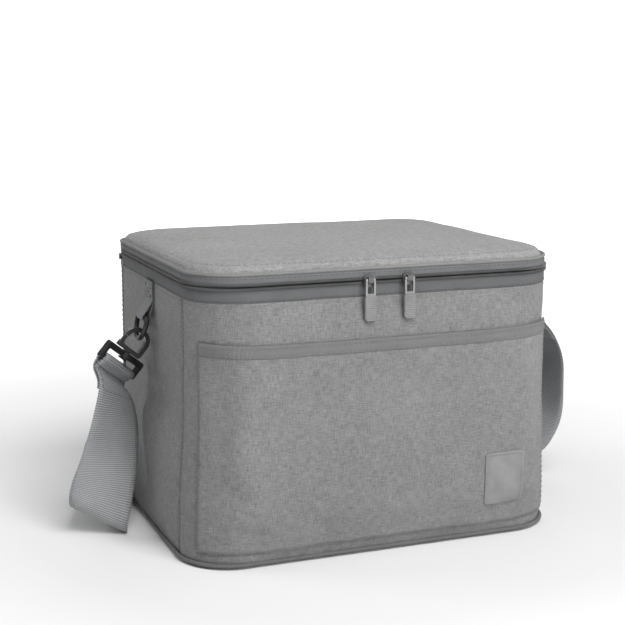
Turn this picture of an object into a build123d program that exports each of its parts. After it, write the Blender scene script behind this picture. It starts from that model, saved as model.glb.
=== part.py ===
from build123d import *
from math import cos, radians, sin
import os

# Insulated cooler bag with a zipped lid, a front pocket and a shoulder strap.
# Millimetres. The origin is the centre of the base, on the ground. +Z is up and the front faces -Y.

# Driving dimensions of the bag
WIDTH = 300.0
DEPTH = 252.0
FRONT_RADIUS = 40.0
BACK_RADIUS = 26.0
MIN_RADIUS = 10.0
SPLIT_Z = 211.0
CROWN_Z = 228.0
FRONT_Y = -DEPTH / 2
BACK_Y = DEPTH / 2
SIDE_X = WIDTH / 2

# Layers of the walls, from the outside in
SKIN = 1.2
FOAM = 6.0
LINER = 0.8
LAYER_GAP = 0.2
FOAM_INSET = SKIN + LAYER_GAP
LINER_INSET = FOAM_INSET + FOAM + LAYER_GAP
CAVITY_INSET = LINER_INSET + LINER

# Base, from the ground up
BOARD = 2.0
BASE_FOAM = 5.0
BOARD_Z = SKIN + LAYER_GAP
BASE_FOAM_Z = BOARD_Z + BOARD + LAYER_GAP
LINER_Z = BASE_FOAM_Z + BASE_FOAM + LAYER_GAP
PIPING_RADIUS = 1.5
PIPING_Z = 3.2

# Zip band: two tapes with a coil each, open by ZIP_GAP at the split
ZIP_GAP = 1.6
TAPE = 0.9
TAPE_HEIGHT = 6.6
TAPE_PROUD = 0.3
COIL = 1.5
COIL_HEIGHT = 1.6
ZIP_END_Y = 96.0
BODY_TOP_Z = SPLIT_Z - ZIP_GAP / 2 - TAPE_HEIGHT - LAYER_GAP
RIM_TOP_Z = SPLIT_Z - 2.2
FOAM_TOP_Z = RIM_TOP_Z - 1.6

# Lid
LID_BASE_Z = SPLIT_Z + ZIP_GAP / 2
LID_LINER = 0.8
LID_EDGE_Z = LID_BASE_Z + TAPE_HEIGHT + LAYER_GAP
LID_PIPING_RADIUS = 1.4
LID_INSET = 1.8

# Front pocket
POCKET_SIDE_Y = -108.0
POCKET_BASE_Z = 12.0
POCKET_TOP_Z = 169.0
POCKET_GAP = 5.0
HEM_HEIGHT = 9.0
HEM_THICK = 0.9
PATCH_WIDTH = 34.0
PATCH_HEIGHT = 42.0
PATCH_X = 96.0
PATCH_Z = 49.0

# Zip sliders and their pulls
LEFT_SLIDER_X = -18.0
RIGHT_SLIDER_X = 14.0
SLIDER_WIDTH = 9.0
SLIDER_HEIGHT = 9.0
SLIDER_CLEAR = 0.4
PLATE = 1.6
LUG_WIDTH = 4.4
PULL_WIDTH = 9.6
PULL_THICK = 2.0
PULL_BAR_RADIUS = 1.0
FIT_CLEAR = 0.08
PULL_END_Z = 181.0
GRIP_TOP_Z = 201.0

# Side D-rings and the tabs that hold them
RING_WIRE = 2.0
RING_RADIUS = 14.0
RING_CORNER = 3.0
RING_DROP = 18.0
RING_BAR_X = SIDE_X + 7.5
RING_BAR_Z = 172.0
RING_TILT = 15.0
TAB_WIDTH = 20.0
TAB_THICK = 1.3
TAB_TOP_Z = 201.0
TAB_SEWN_Z = 185.0

# Snap hooks: distances run along the hook from the ring's wire
HOOK_THICK = 6.0
HOOK_OUTER = 10.9
HOOK_INNER = 7.5
HOOK_EYE = 2.9
HOOK_BASE = 10.2
HOOK_END = 13.8
SHAFT_RADIUS = 2.5
BUTTON_RADIUS = 3.8
FRAME_TOP = 14.4
WINDOW_TOP = 19.5
WINDOW_END = 26.0
FRAME_END = 30.0
FRAME_THICK = 4.0
BAR_CENTRE = (WINDOW_END + FRAME_END) / 2
GATE_U = 9.2
GATE_PIVOT = 10.8
GATE_TIP = 3.6
GATE_THICK = 2.8
GATE_PIN = 0.8
LEFT_LEAN = 40.0
LEFT_TURN = 50.0
RIGHT_LEAN = 76.0
RIGHT_TURN = 0.0

# Shoulder strap
WEB_WIDTH = 50.0
WEB_THICK = 2.0
REAR_RUN_Y = 157.0
REAR_RUN_Z = 31.0
REAR_RUN_START = ((-92, REAR_RUN_Y, REAR_RUN_Z), (0, 0, 1))
# Stations between the two hooks: the strap's centre, then the direction of its width
STRAP_ROUTE = [
    ((-181, 0, 112), (-0.66, -0.62, 0.42)),
    ((-182, 0, 87), (-0.82, -0.50, 0.20)),
    ((-187, -2, 61), (-0.94, -0.32, 0.10)),
    ((-194, -6, 38), (-0.98, -0.12, 0.17)),
    ((-199, -11, 22), (-0.95, 0.00, 0.32)),
    ((-198, -5, 13.5), (-0.91, 0.05, 0.41)),
    ((-194, 11, 14.5), (-0.88, 0.05, 0.46)),
    ((-188, 34, 18), (-0.80, 0.05, 0.60)),
    ((-183, 61, 22.5), (-0.62, 0.00, 0.78)),
    ((-179, 90, 27.5), (-0.35, 0.00, 0.94)),
    ((-170, 118, 30), (-0.12, -0.05, 0.99)),
    ((-152, 142, REAR_RUN_Z), (0, 0, 1)),
    ((-125, 154, REAR_RUN_Z), (0, 0, 1)),
    REAR_RUN_START,
    ((92, REAR_RUN_Y, REAR_RUN_Z), (0, 0, 1)),
    ((125, 154, REAR_RUN_Z), (0, 0, 1)),
    ((152, 142, REAR_RUN_Z), (0, 0, 1)),
    ((170, 118, 30), (0.12, -0.05, 0.99)),
    ((178, 90, 27.5), (0.35, 0.00, 0.94)),
    ((181, 62, 22), (0.62, 0.00, 0.78)),
    ((182, 38, 16.5), (0.84, 0.00, 0.54)),
    ((184, 18, 12), (0.94, -0.10, 0.34)),
    ((188, 5, 19), (0.89, -0.41, 0.22)),
    ((197, 0, 38), (0.68, -0.73, 0.10)),
    ((210, 0, 62), (0.34, -0.94, 0.00)),
    ((217, 0, 88), (0.05, -1.00, 0.00)),
    ((217, 0, 112), (0.00, -1.00, 0.00)),
    ((209, 0, 132), (0.00, -1.00, 0.00)),
]

# Strap adjuster on the rear run
ADJUSTER_LENGTH = 32.0
ADJUSTER_RAIL = 4.0
ADJUSTER_BAR = 5.0
ADJUSTER_CLEAR = 0.4


def finish(part, name):
    """Names a piece and writes its file."""
    part.label = name
    export_step(part, f"parts/{name}.step")


def footprint(grow=0.0):
    """The bag's plan outline, moved outwards by grow, in the sketch that is open."""
    Rectangle(WIDTH + 2 * grow, DEPTH + 2 * grow)
    fillet(vertices().group_by(Axis.Y)[0], max(FRONT_RADIUS + grow, MIN_RADIUS))
    fillet(vertices().group_by(Axis.Y)[-1], max(BACK_RADIUS + grow, MIN_RADIUS))


def plan_ring(grow, thickness, low_y=None, high_y=None):
    """A ring that follows the plan outline, kept between two values of Y, in the open sketch."""
    footprint(grow)
    offset(amount=-thickness, mode=Mode.SUBTRACT)
    if low_y is not None:
        with Locations((0, low_y - DEPTH / 2)):
            Rectangle(2 * WIDTH, DEPTH, mode=Mode.SUBTRACT)
    if high_y is not None:
        with Locations((0, high_y + DEPTH / 2)):
            Rectangle(2 * WIDTH, DEPTH, mode=Mode.SUBTRACT)


def plate(name, inset, low, height):
    """A flat layer with the bag's outline."""
    with BuildPart() as piece:
        with BuildSketch(Plane.XY.offset(low)):
            footprint(-inset)
        extrude(amount=height)
    finish(piece.part, name)


def wall(name, inset, thickness, low, high, low_y=None, high_y=None):
    """An upright layer that follows the bag's outline."""
    with BuildPart() as piece:
        with BuildSketch(Plane.XY.offset(low)):
            plan_ring(-inset, thickness, low_y, high_y)
        extrude(amount=high - low)
    finish(piece.part, name)


def piping(name, radius, grow, z):
    """A round cord all the way round the bag's outline."""
    with BuildPart() as piece:
        with BuildSketch(Plane.XY.offset(z - radius)):
            plan_ring(grow, 2 * radius)
        extrude(amount=2 * radius)
        fillet(piece.faces().filter_by(Axis.Z).edges(), 0.9 * radius)
    finish(piece.part, name)


def dome(inset, drop):
    """Sections through the lid's crowned top, inset and lowered, for a loft."""
    rise = CROWN_Z - LID_EDGE_Z
    sections = []
    for height, shrink in ((0.0, 0.0), (0.45, 3.5), (0.78, 22.0), (1.0, 74.0)):
        with BuildSketch(Plane.XY.offset(LID_EDGE_Z + rise * height - drop)) as section:
            footprint(-inset - shrink)
        sections.append(section.sketch.face())
    return sections


def bag_body():
    """The base, the walls and everything sewn to them."""
    plate("base_panel", 0.0, 0.0, SKIN)
    plate("base_board", 3.0, BOARD_Z, BOARD)
    plate("base_foam", FOAM_INSET, BASE_FOAM_Z, BASE_FOAM)
    wall("wall_foam", FOAM_INSET, FOAM, LINER_Z, FOAM_TOP_Z)
    front_seam = FRONT_Y + FRONT_RADIUS
    back_seam = BACK_Y - BACK_RADIUS
    skin_low = SKIN + LAYER_GAP
    wall("front_panel", 0.0, SKIN, skin_low, BODY_TOP_Z, high_y=front_seam)
    wall("back_panel", 0.0, SKIN, skin_low, BODY_TOP_Z, low_y=back_seam)
    for side, name in ((-1, "left_side_panel"), (1, "right_side_panel")):
        with BuildPart() as side_panel:
            with BuildSketch(Plane.XY.offset(skin_low)):
                with Locations((side * (SIDE_X - SKIN / 2), (front_seam + back_seam) / 2)):
                    Rectangle(SKIN, back_seam - front_seam - 2 * LAYER_GAP)
            extrude(amount=BODY_TOP_Z - skin_low)
        finish(side_panel.part, name)
    with BuildPart() as liner:
        with BuildSketch(Plane.XY.offset(LINER_Z)):
            footprint(-LINER_INSET)
        extrude(amount=FOAM_TOP_Z - LINER_Z)
        with BuildSketch(Plane.XY.offset(LINER_Z + LINER)):
            footprint(-CAVITY_INSET)
        extrude(amount=FOAM_TOP_Z, mode=Mode.SUBTRACT)
    finish(liner.part, "liner_tub")
    wall("rim_binding", FOAM_INSET, CAVITY_INSET - FOAM_INSET, FOAM_TOP_Z + LAYER_GAP, RIM_TOP_Z)
    piping("bottom_piping", PIPING_RADIUS, 2 * PIPING_RADIUS + 0.1, PIPING_Z)
    tape_z = SPLIT_Z - ZIP_GAP / 2 - TAPE_HEIGHT
    wall("zipper_tape_lower", -TAPE_PROUD, TAPE, tape_z, tape_z + TAPE_HEIGHT, high_y=ZIP_END_Y)
    coil_z = SPLIT_Z - ZIP_GAP / 2 - COIL_HEIGHT
    coil_inset = -TAPE_PROUD - LAYER_GAP - COIL
    wall("zipper_coil_lower", coil_inset, COIL, coil_z, coil_z + COIL_HEIGHT, high_y=ZIP_END_Y)
    wall("back_hinge_strip", -TAPE_PROUD, TAPE, tape_z, tape_z + TAPE_HEIGHT, low_y=ZIP_END_Y + 7)
    with BuildPart() as stops:
        with BuildSketch(Plane.XY.offset(tape_z + 1.5)):
            for side in (-1, 1):
                with Locations((side * (SIDE_X + 1.3), ZIP_END_Y + 3.5)):
                    Rectangle(3.0, 4.0)
        extrude(amount=TAPE_HEIGHT - 1.7)
        fillet(stops.edges().filter_by(Axis.Z), 0.6)
    finish(stops.part, "zipper_end_stops")


def front_pocket():
    """A pocket that wraps the front and its corners, open at its top, with a hem and a blank patch."""
    face = LAYER_GAP + POCKET_GAP + SKIN
    height = POCKET_TOP_Z - POCKET_BASE_Z
    with BuildPart() as pocket:
        with BuildSketch(Plane.XY.offset(POCKET_BASE_Z)):
            plan_ring(face, face - LAYER_GAP, high_y=POCKET_SIDE_Y)
        extrude(amount=height)
        with BuildSketch(Plane.XY.offset(POCKET_BASE_Z + SKIN)):
            plan_ring(face - SKIN, POCKET_GAP, high_y=POCKET_SIDE_Y - 2 * SKIN)
        extrude(amount=height, mode=Mode.SUBTRACT)
    finish(pocket.part, "pocket_panel")
    hem_low = POCKET_TOP_Z - HEM_HEIGHT
    hem_inset = -face - LAYER_GAP - HEM_THICK
    wall("pocket_hem", hem_inset, HEM_THICK, hem_low, POCKET_TOP_Z, high_y=POCKET_SIDE_Y)
    with BuildPart() as patch:
        with BuildSketch(Plane.XZ.offset(-FRONT_Y + face + LAYER_GAP)):
            with Locations((PATCH_X, PATCH_Z)):
                RectangleRounded(PATCH_WIDTH, PATCH_HEIGHT, 3.0)
        extrude(amount=1.0)
    finish(patch.part, "label_patch")


def lid():
    """The lid: crowned panel, foam, lining, piping, and the upper half of the zip."""
    with BuildPart() as top_panel:
        loft(dome(LID_INSET, 0.0), ruled=True)
        loft(dome(LID_INSET + SKIN, SKIN), ruled=True, mode=Mode.SUBTRACT)
    finish(top_panel.part, "lid_top_panel")
    foam_z = LID_BASE_Z + LID_LINER + 2 * LAYER_GAP
    foam_inset = LID_INSET + SKIN + LAYER_GAP
    with BuildPart() as foam:
        with BuildSketch(Plane.XY.offset(foam_z)):
            footprint(-foam_inset)
        extrude(amount=LID_EDGE_Z - SKIN - LAYER_GAP - foam_z)
        loft(dome(foam_inset, SKIN + LAYER_GAP), ruled=True)
    finish(foam.part, "lid_foam")
    plate("lid_liner", foam_inset, LID_BASE_Z + LAYER_GAP, LID_LINER)
    piping_grow = 2 * LID_PIPING_RADIUS + 0.1 - LID_INSET
    piping("lid_piping", LID_PIPING_RADIUS, piping_grow, LID_EDGE_Z + LID_PIPING_RADIUS)
    tape_top = LID_BASE_Z + TAPE_HEIGHT
    wall("zipper_tape_upper", -TAPE_PROUD, TAPE, LID_BASE_Z, tape_top, high_y=ZIP_END_Y)
    coil_inset = -TAPE_PROUD - LAYER_GAP - COIL
    coil_top = LID_BASE_Z + COIL_HEIGHT
    wall("zipper_coil_upper", coil_inset, COIL, LID_BASE_Z, coil_top, high_y=ZIP_END_Y)
    wall("lid_back_band", 0.0, SKIN, LID_BASE_Z, tape_top, low_y=ZIP_END_Y + LAYER_GAP)


def zip_slider(x, side):
    """One slider and its pull. The slider holds the lower coil and lets the upper one leave upwards."""
    tape_y = FRONT_Y - TAPE_PROUD
    coil_y = tape_y - LAYER_GAP - COIL
    plate_y = coil_y - SLIDER_CLEAR - PLATE
    back_y = tape_y + TAPE + SLIDER_CLEAR
    pivot_y = plate_y - 1.7
    pivot_z = SPLIT_Z + 0.6
    divider = ZIP_GAP - 2 * SLIDER_CLEAR
    with BuildPart() as slider:
        with BuildSketch(Plane.XZ.offset(-plate_y - PLATE)):
            with Locations((x, SPLIT_Z)):
                RectangleRounded(SLIDER_WIDTH, SLIDER_HEIGHT, 2.4)
        extrude(amount=PLATE)
        with BuildSketch(Plane.XZ.offset(-back_y - PLATE / 2)):
            with Locations((x, SPLIT_Z)):
                Rectangle(SLIDER_WIDTH - 2, divider)
        extrude(until=Until.NEXT)
        with BuildSketch(Plane.XZ.offset(-back_y - PLATE / 2)):
            with Locations((x, SPLIT_Z)):
                Rectangle(SLIDER_WIDTH - 2, 3.6)
        extrude(amount=PLATE / 2)
        with BuildSketch(Plane.YZ.offset(x)):
            with Locations((plate_y - 1.2, pivot_z)):
                Rectangle(4.4, 5.4)
            fillet(vertices().group_by(Axis.Y)[0], 2.2)
            with Locations((pivot_y, pivot_z)):
                Circle(PULL_BAR_RADIUS + FIT_CLEAR, mode=Mode.SUBTRACT)
        extrude(amount=LUG_WIDTH / 2, both=True)
    finish(slider.part, f"{side}_zip_slider")
    tab_top = pivot_z + 1.6
    tab_height = tab_top - GRIP_TOP_Z + 5
    with BuildPart() as tab:
        with BuildSketch(Plane.XZ.offset(-pivot_y)):
            with Locations((x, tab_top - tab_height / 2)):
                RectangleRounded(PULL_WIDTH - 1.6, tab_height, 1.4)
            with Locations((x, pivot_z - 3.4)):
                Rectangle(LUG_WIDTH + 0.8, 13.0, mode=Mode.SUBTRACT)
        extrude(amount=PULL_THICK / 2 - 0.2, both=True)
        with BuildSketch(Plane.YZ.offset(x)):
            with Locations((pivot_y, pivot_z)):
                Circle(PULL_BAR_RADIUS)
        extrude(amount=PULL_WIDTH / 2 - 1.5, both=True)
    finish(tab.part, f"{side}_pull_tab")
    with BuildPart() as grip:
        with BuildSketch(Plane.XZ.offset(-pivot_y)):
            with Locations((x, (GRIP_TOP_Z + PULL_END_Z) / 2)):
                RectangleRounded(PULL_WIDTH, GRIP_TOP_Z - PULL_END_Z, 3.2)
        extrude(amount=PULL_THICK / 2 + 0.8, both=True)
        fillet(grip.edges().filter_by(Plane.XZ), 1.0)
        with BuildSketch(Plane.XZ.offset(-pivot_y)):
            with Locations((x, tab_top - tab_height / 2)):
                RectangleRounded(PULL_WIDTH - 1.6 + 0.1, tab_height + 0.1, 1.4)
        extrude(amount=PULL_THICK / 2 - 0.15, both=True, mode=Mode.SUBTRACT)
    finish(grip.part, f"{side}_pull_grip")


def ring_and_tab(sign, side):
    """A D-ring on one side and the webbing tab, sewn under the zip, that its bar turns in."""
    tilt = radians(RING_TILT)
    down = Vector(sign * sin(tilt), 0, -cos(tilt))
    normal = Vector(0, 1, 0).cross(down)
    ring_plane = Plane(
        origin=(sign * RING_BAR_X, 0, RING_BAR_Z), x_dir=(0, 1, 0), z_dir=normal
    )
    bar_end = RING_RADIUS - RING_CORNER
    shoulder = RING_DROP - RING_RADIUS
    corner = RING_CORNER * (1 - cos(radians(45)))
    with BuildPart() as ring:
        with BuildLine(ring_plane) as path:
            Line((-bar_end, 0), (bar_end, 0))
            ThreePointArc(
                (bar_end, 0), (RING_RADIUS - corner, corner), (RING_RADIUS, RING_CORNER)
            )
            Line((RING_RADIUS, RING_CORNER), (RING_RADIUS, shoulder))
            ThreePointArc((RING_RADIUS, shoulder), (0, RING_DROP), (-RING_RADIUS, shoulder))
            Line((-RING_RADIUS, shoulder), (-RING_RADIUS, RING_CORNER))
            ThreePointArc(
                (-RING_RADIUS, RING_CORNER), (corner - RING_RADIUS, corner), (-bar_end, 0)
            )
        with BuildSketch(Plane(origin=ring_plane.origin, z_dir=(0, 1, 0))):
            Circle(RING_WIRE)
        sweep(path=path.wire())
    finish(ring.part, f"{side}_d_ring")
    sewn_x = sign * (SIDE_X + 0.3 + TAB_THICK)
    with BuildPart() as tab:
        with BuildSketch(Plane.XZ):
            with Locations((sign * RING_BAR_X, RING_BAR_Z)):
                Circle(RING_WIRE + 0.4 + TAB_THICK)
            with Locations((sewn_x, TAB_SEWN_Z)):
                Rectangle(2 * TAB_THICK, 2.0)
            make_hull()
            with Locations((sewn_x, (TAB_SEWN_Z + TAB_TOP_Z) / 2)):
                Rectangle(2 * TAB_THICK, TAB_TOP_Z - TAB_SEWN_Z)
            with BuildSketch(Plane.XZ, mode=Mode.PRIVATE) as hollow:
                with Locations((sign * RING_BAR_X, RING_BAR_Z)):
                    Circle(RING_WIRE + 0.4)
                with Locations((sewn_x, TAB_SEWN_Z - 2)):
                    Circle(0.3)
                make_hull()
            add(hollow.sketch_local, mode=Mode.SUBTRACT)
        extrude(amount=TAB_WIDTH / 2, both=True)
    finish(tab.part, f"{side}_ring_tab")


def hook_axes(sign, lean, turn):
    """The hook's wire point, its direction away from the ring, and the strap bar's direction."""
    tilt = radians(RING_TILT)
    wire = Vector(
        sign * (RING_BAR_X + RING_DROP * sin(tilt)), 0, RING_BAR_Z - RING_DROP * cos(tilt)
    )
    along = Vector(sign * sin(radians(lean)), 0, -cos(radians(lean)))
    outward = Vector(sign * cos(radians(lean)), 0, sin(radians(lean)))
    bar = Vector(0, -cos(radians(turn)), 0) + outward * sin(radians(turn))
    return wire, along, bar


def snap_hook(sign, side, lean, turn):
    """A swivel snap hook: hook body, sprung gate, and the frame that the strap is sewn round."""
    wire, along, bar = hook_axes(sign, lean, turn)
    face = Plane(origin=wire, x_dir=Vector(0, -sign, 0).cross(along), z_dir=(0, -sign, 0))
    waist = HOOK_END - HOOK_EYE
    with BuildPart() as hook:
        with BuildSketch(face):
            with Locations((0, -HOOK_EYE)):
                Circle(HOOK_OUTER)
            with Locations((0, -HOOK_EYE - waist / 2)):
                Rectangle(2 * HOOK_OUTER, waist)
            fillet(vertices().group_by(Axis((0, 0, 0), -along))[0], 3.0)
            with Locations((0, -HOOK_EYE)):
                Circle(HOOK_INNER, mode=Mode.SUBTRACT)
            with Locations((0, -(HOOK_EYE + HOOK_BASE) / 2)):
                Rectangle(2 * HOOK_INNER, HOOK_BASE - HOOK_EYE, mode=Mode.SUBTRACT)
            with Locations((GATE_U, -(GATE_TIP + GATE_PIVOT - 1.7) / 2)):
                Rectangle(5.0, GATE_PIVOT - 1.3 - GATE_TIP + 0.4, mode=Mode.SUBTRACT)
        extrude(amount=HOOK_THICK / 2, both=True)
        with BuildSketch(face):
            with Locations((GATE_U, -GATE_PIVOT)):
                Rectangle(4.4, 4.4)
        extrude(amount=GATE_THICK / 2 + 0.2, both=True, mode=Mode.SUBTRACT)
        with BuildSketch(face):
            with Locations((GATE_U, -GATE_PIVOT)):
                Circle(GATE_PIN)
        extrude(amount=HOOK_THICK / 2 - 0.5, both=True)
        with BuildSketch(Plane(origin=wire + along * (HOOK_END - 0.5), z_dir=along)):
            Circle(SHAFT_RADIUS)
        extrude(amount=WINDOW_TOP + 1.0 - HOOK_END)
        with BuildSketch(Plane(origin=wire + along * (WINDOW_TOP + 0.3), z_dir=along)):
            Circle(BUTTON_RADIUS)
        extrude(amount=1.4)
    finish(hook.part, f"{side}_snap_hook")
    with BuildPart() as gate:
        with BuildSketch(face):
            with Locations((GATE_U, -GATE_PIVOT)):
                Circle(1.7)
            with Locations((GATE_U, -(GATE_TIP + GATE_PIVOT) / 2)):
                Rectangle(2.8, GATE_PIVOT - GATE_TIP)
            with Locations((GATE_U, -GATE_PIVOT)):
                Circle(GATE_PIN + FIT_CLEAR, mode=Mode.SUBTRACT)
        extrude(amount=GATE_THICK / 2, both=True)
    finish(gate.part, f"{side}_hook_gate")
    frame_face = Plane(origin=wire, x_dir=bar, z_dir=bar.cross(-along))
    with BuildPart() as frame:
        with BuildSketch(frame_face):
            with Locations((0, -(FRAME_TOP + FRAME_END) / 2)):
                RectangleRounded(WEB_WIDTH + 10, FRAME_END - FRAME_TOP, 2.5)
            with Locations((0, -(WINDOW_TOP + WINDOW_END) / 2)):
                Rectangle(WEB_WIDTH + 2, WINDOW_END - WINDOW_TOP, mode=Mode.SUBTRACT)
        extrude(amount=FRAME_THICK / 2, both=True)
        with BuildSketch(Plane(origin=wire + along * FRAME_TOP, z_dir=along)):
            Circle(5.5)
        extrude(amount=WINDOW_TOP - FRAME_TOP)
        with BuildSketch(Plane(origin=wire + along * FRAME_TOP, z_dir=along)):
            Circle(SHAFT_RADIUS + FIT_CLEAR)
        extrude(amount=WINDOW_TOP - FRAME_TOP, mode=Mode.SUBTRACT)
    finish(frame.part, f"{side}_strap_frame")


def strap_sections():
    """Planes across the strap from one hook's bar to the other's: X is the strap's width."""
    stations = [(Vector(centre), Vector(width)) for centre, width in STRAP_ROUTE]
    start = BAR_CENTRE + (FRAME_END - WINDOW_END) / 2 + 0.3 + WEB_THICK / 2
    wire, along, bar = hook_axes(-1, LEFT_LEAN, LEFT_TURN)
    stations.insert(0, (wire + along * start, bar))
    wire, along, bar = hook_axes(1, RIGHT_LEAN, RIGHT_TURN)
    stations.append((wire + along * start, bar))
    sections = []
    for i, (centre, width) in enumerate(stations):
        before = stations[max(i - 1, 0)][0]
        after = stations[min(i + 1, len(stations) - 1)][0]
        width = width.normalized()
        heading = after - before
        heading = heading - width * heading.dot(width)
        sections.append(Plane(origin=centre, x_dir=width, z_dir=heading))
    return sections


def strap_end(sign, lean, turn):
    """The outline of the strap's folded end, round the bar of a hook's frame."""
    wire, along, bar = hook_axes(sign, lean, turn)
    depth = FRAME_END - WINDOW_END + 0.6
    thick = FRAME_THICK + 0.6
    with BuildSketch(Plane(origin=wire + along * BAR_CENTRE, x_dir=along, z_dir=bar)) as fold:
        RectangleRounded(depth + 2 * WEB_THICK, thick + 2 * WEB_THICK, 2.6)
        RectangleRounded(depth, thick, 0.6, mode=Mode.SUBTRACT)
    return fold.sketch.face()


def strap_run(name, sections, fold=None):
    """One run of the strap's webbing through some of its sections, with its folded end."""
    with BuildPart() as run:
        for first, second in zip(sections, sections[1:]):
            with BuildSketch(first, second):
                Rectangle(WEB_WIDTH, WEB_THICK)
            loft(ruled=True)
        if fold is not None:
            extrude(fold, amount=WEB_WIDTH / 2, both=True)
    finish(run.part, name)


def shoulder_strap():
    """The webbing strap, from hook to hook round the back in three runs, and its adjuster."""
    sections = strap_sections()
    rear = STRAP_ROUTE.index(REAR_RUN_START) + 1
    left_end = strap_end(-1, LEFT_LEAN, LEFT_TURN)
    right_end = strap_end(1, RIGHT_LEAN, RIGHT_TURN)
    strap_run("strap_left_run", sections[: rear + 1], left_end)
    strap_run("strap_rear_run", sections[rear : rear + 2])
    strap_run("strap_right_run", sections[rear + 1 :], right_end)
    channel = WEB_THICK / 2 + ADJUSTER_CLEAR
    deep = channel + 2.0
    outer = WEB_WIDTH / 2 + ADJUSTER_CLEAR + ADJUSTER_RAIL
    rail = WEB_WIDTH / 2 + ADJUSTER_CLEAR
    with BuildPart() as adjuster:
        with BuildSketch(Plane.XZ.offset(-REAR_RUN_Y - deep)):
            with Locations((0, REAR_RUN_Z)):
                RectangleRounded(ADJUSTER_LENGTH, 2 * outer, 3.0)
        extrude(amount=2 * deep)
        with BuildSketch(Plane.YZ):
            with Locations((REAR_RUN_Y, REAR_RUN_Z)):
                Rectangle(2 * channel, 2 * rail)
        extrude(amount=ADJUSTER_LENGTH, both=True, mode=Mode.SUBTRACT)
        slot = (ADJUSTER_LENGTH - 3 * ADJUSTER_BAR) / 2
        with BuildSketch(Plane.XZ.offset(-REAR_RUN_Y - deep)):
            with Locations((0, REAR_RUN_Z)):
                Rectangle(ADJUSTER_LENGTH - 2 * ADJUSTER_BAR, 2 * rail)
                Rectangle(ADJUSTER_BAR, 2 * rail, mode=Mode.SUBTRACT)
        extrude(amount=deep - channel, mode=Mode.SUBTRACT)
        with BuildSketch(Plane.XZ.offset(-REAR_RUN_Y + channel)):
            with GridLocations(slot + ADJUSTER_BAR, 1, 2, 1):
                with Locations((0, REAR_RUN_Z)):
                    Rectangle(slot, 2 * rail)
        extrude(amount=deep - channel, mode=Mode.SUBTRACT)
    finish(adjuster.part, "strap_adjuster")


os.makedirs("parts", exist_ok=True)
bag_body()
front_pocket()
lid()
zip_slider(LEFT_SLIDER_X, "left")
zip_slider(RIGHT_SLIDER_X, "right")
for sign, side, lean, turn in (
    (-1, "left", LEFT_LEAN, LEFT_TURN),
    (1, "right", RIGHT_LEAN, RIGHT_TURN),
):
    ring_and_tab(sign, side)
    snap_hook(sign, side, lean, turn)
shoulder_strap()
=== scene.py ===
from bisect import bisect_left
from math import cos, exp, pi, radians, sin

import bmesh
import bpy
import numpy as np
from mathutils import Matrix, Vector, noise


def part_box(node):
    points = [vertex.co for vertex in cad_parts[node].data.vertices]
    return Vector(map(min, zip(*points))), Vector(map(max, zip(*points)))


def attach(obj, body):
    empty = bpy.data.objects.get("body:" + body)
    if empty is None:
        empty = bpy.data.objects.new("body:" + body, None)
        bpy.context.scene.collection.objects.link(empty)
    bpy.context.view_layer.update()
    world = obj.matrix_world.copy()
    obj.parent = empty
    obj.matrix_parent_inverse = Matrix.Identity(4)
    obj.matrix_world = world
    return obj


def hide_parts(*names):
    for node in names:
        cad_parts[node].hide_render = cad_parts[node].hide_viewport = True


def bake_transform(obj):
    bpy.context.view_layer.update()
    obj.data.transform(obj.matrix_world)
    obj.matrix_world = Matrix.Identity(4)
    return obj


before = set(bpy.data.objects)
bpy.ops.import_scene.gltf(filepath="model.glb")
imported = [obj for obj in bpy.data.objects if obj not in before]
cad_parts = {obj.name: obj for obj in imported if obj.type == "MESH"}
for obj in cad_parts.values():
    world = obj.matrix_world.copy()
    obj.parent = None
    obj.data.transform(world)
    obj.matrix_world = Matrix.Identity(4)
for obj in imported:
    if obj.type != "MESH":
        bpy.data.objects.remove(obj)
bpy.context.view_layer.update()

# Metres throughout. The bag stands on z = 0, its front faces -Y, +X is to the right.
MM = 0.001

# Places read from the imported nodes
FRONT_LOW, FRONT_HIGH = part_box("front_panel")
BACK_LOW, BACK_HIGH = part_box("back_panel")
LOWER_LOW, LOWER_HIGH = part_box("zipper_tape_lower")
UPPER_LOW, UPPER_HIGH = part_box("zipper_tape_upper")
LID_LOW, LID_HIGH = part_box("lid_top_panel")
POCKET_LOW, POCKET_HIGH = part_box("pocket_panel")
HEM_LOW, HEM_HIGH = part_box("pocket_hem")
PATCH_LOW, PATCH_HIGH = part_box("label_patch")
RIM_LOW, RIM_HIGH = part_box("rim_binding")
TUB_LOW, TUB_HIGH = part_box("liner_tub")
LINER_LOW, LINER_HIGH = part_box("lid_liner")
SIDE_X = FRONT_HIGH.x
FRONT_Y = FRONT_LOW.y
BACK_Y = BACK_HIGH.y
FRONT_RADIUS = FRONT_HIGH.y - FRONT_LOW.y
BACK_RADIUS = BACK_HIGH.y - BACK_LOW.y
BODY_LOW = FRONT_LOW.z
BODY_TOP = FRONT_HIGH.z
SPLIT_Z = (LOWER_HIGH.z + UPPER_LOW.z) / 2

# Stretches of the plan outline, measured round from the middle of the front
FRONT_RUN = SIDE_X - FRONT_RADIUS
FRONT_SEAM = FRONT_RUN + FRONT_RADIUS * pi / 2
BACK_SEAM = FRONT_SEAM + (BACK_Y - BACK_RADIUS) - (FRONT_Y + FRONT_RADIUS)
BACK_CORNER = BACK_SEAM + BACK_RADIUS * pi / 2
HALF = BACK_CORNER + SIDE_X - BACK_RADIUS
ZIP_END = FRONT_SEAM + (LOWER_HIGH.y - FRONT_Y - FRONT_RADIUS)
POCKET_SIDE = FRONT_RUN + FRONT_RADIUS * 0.988

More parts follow.
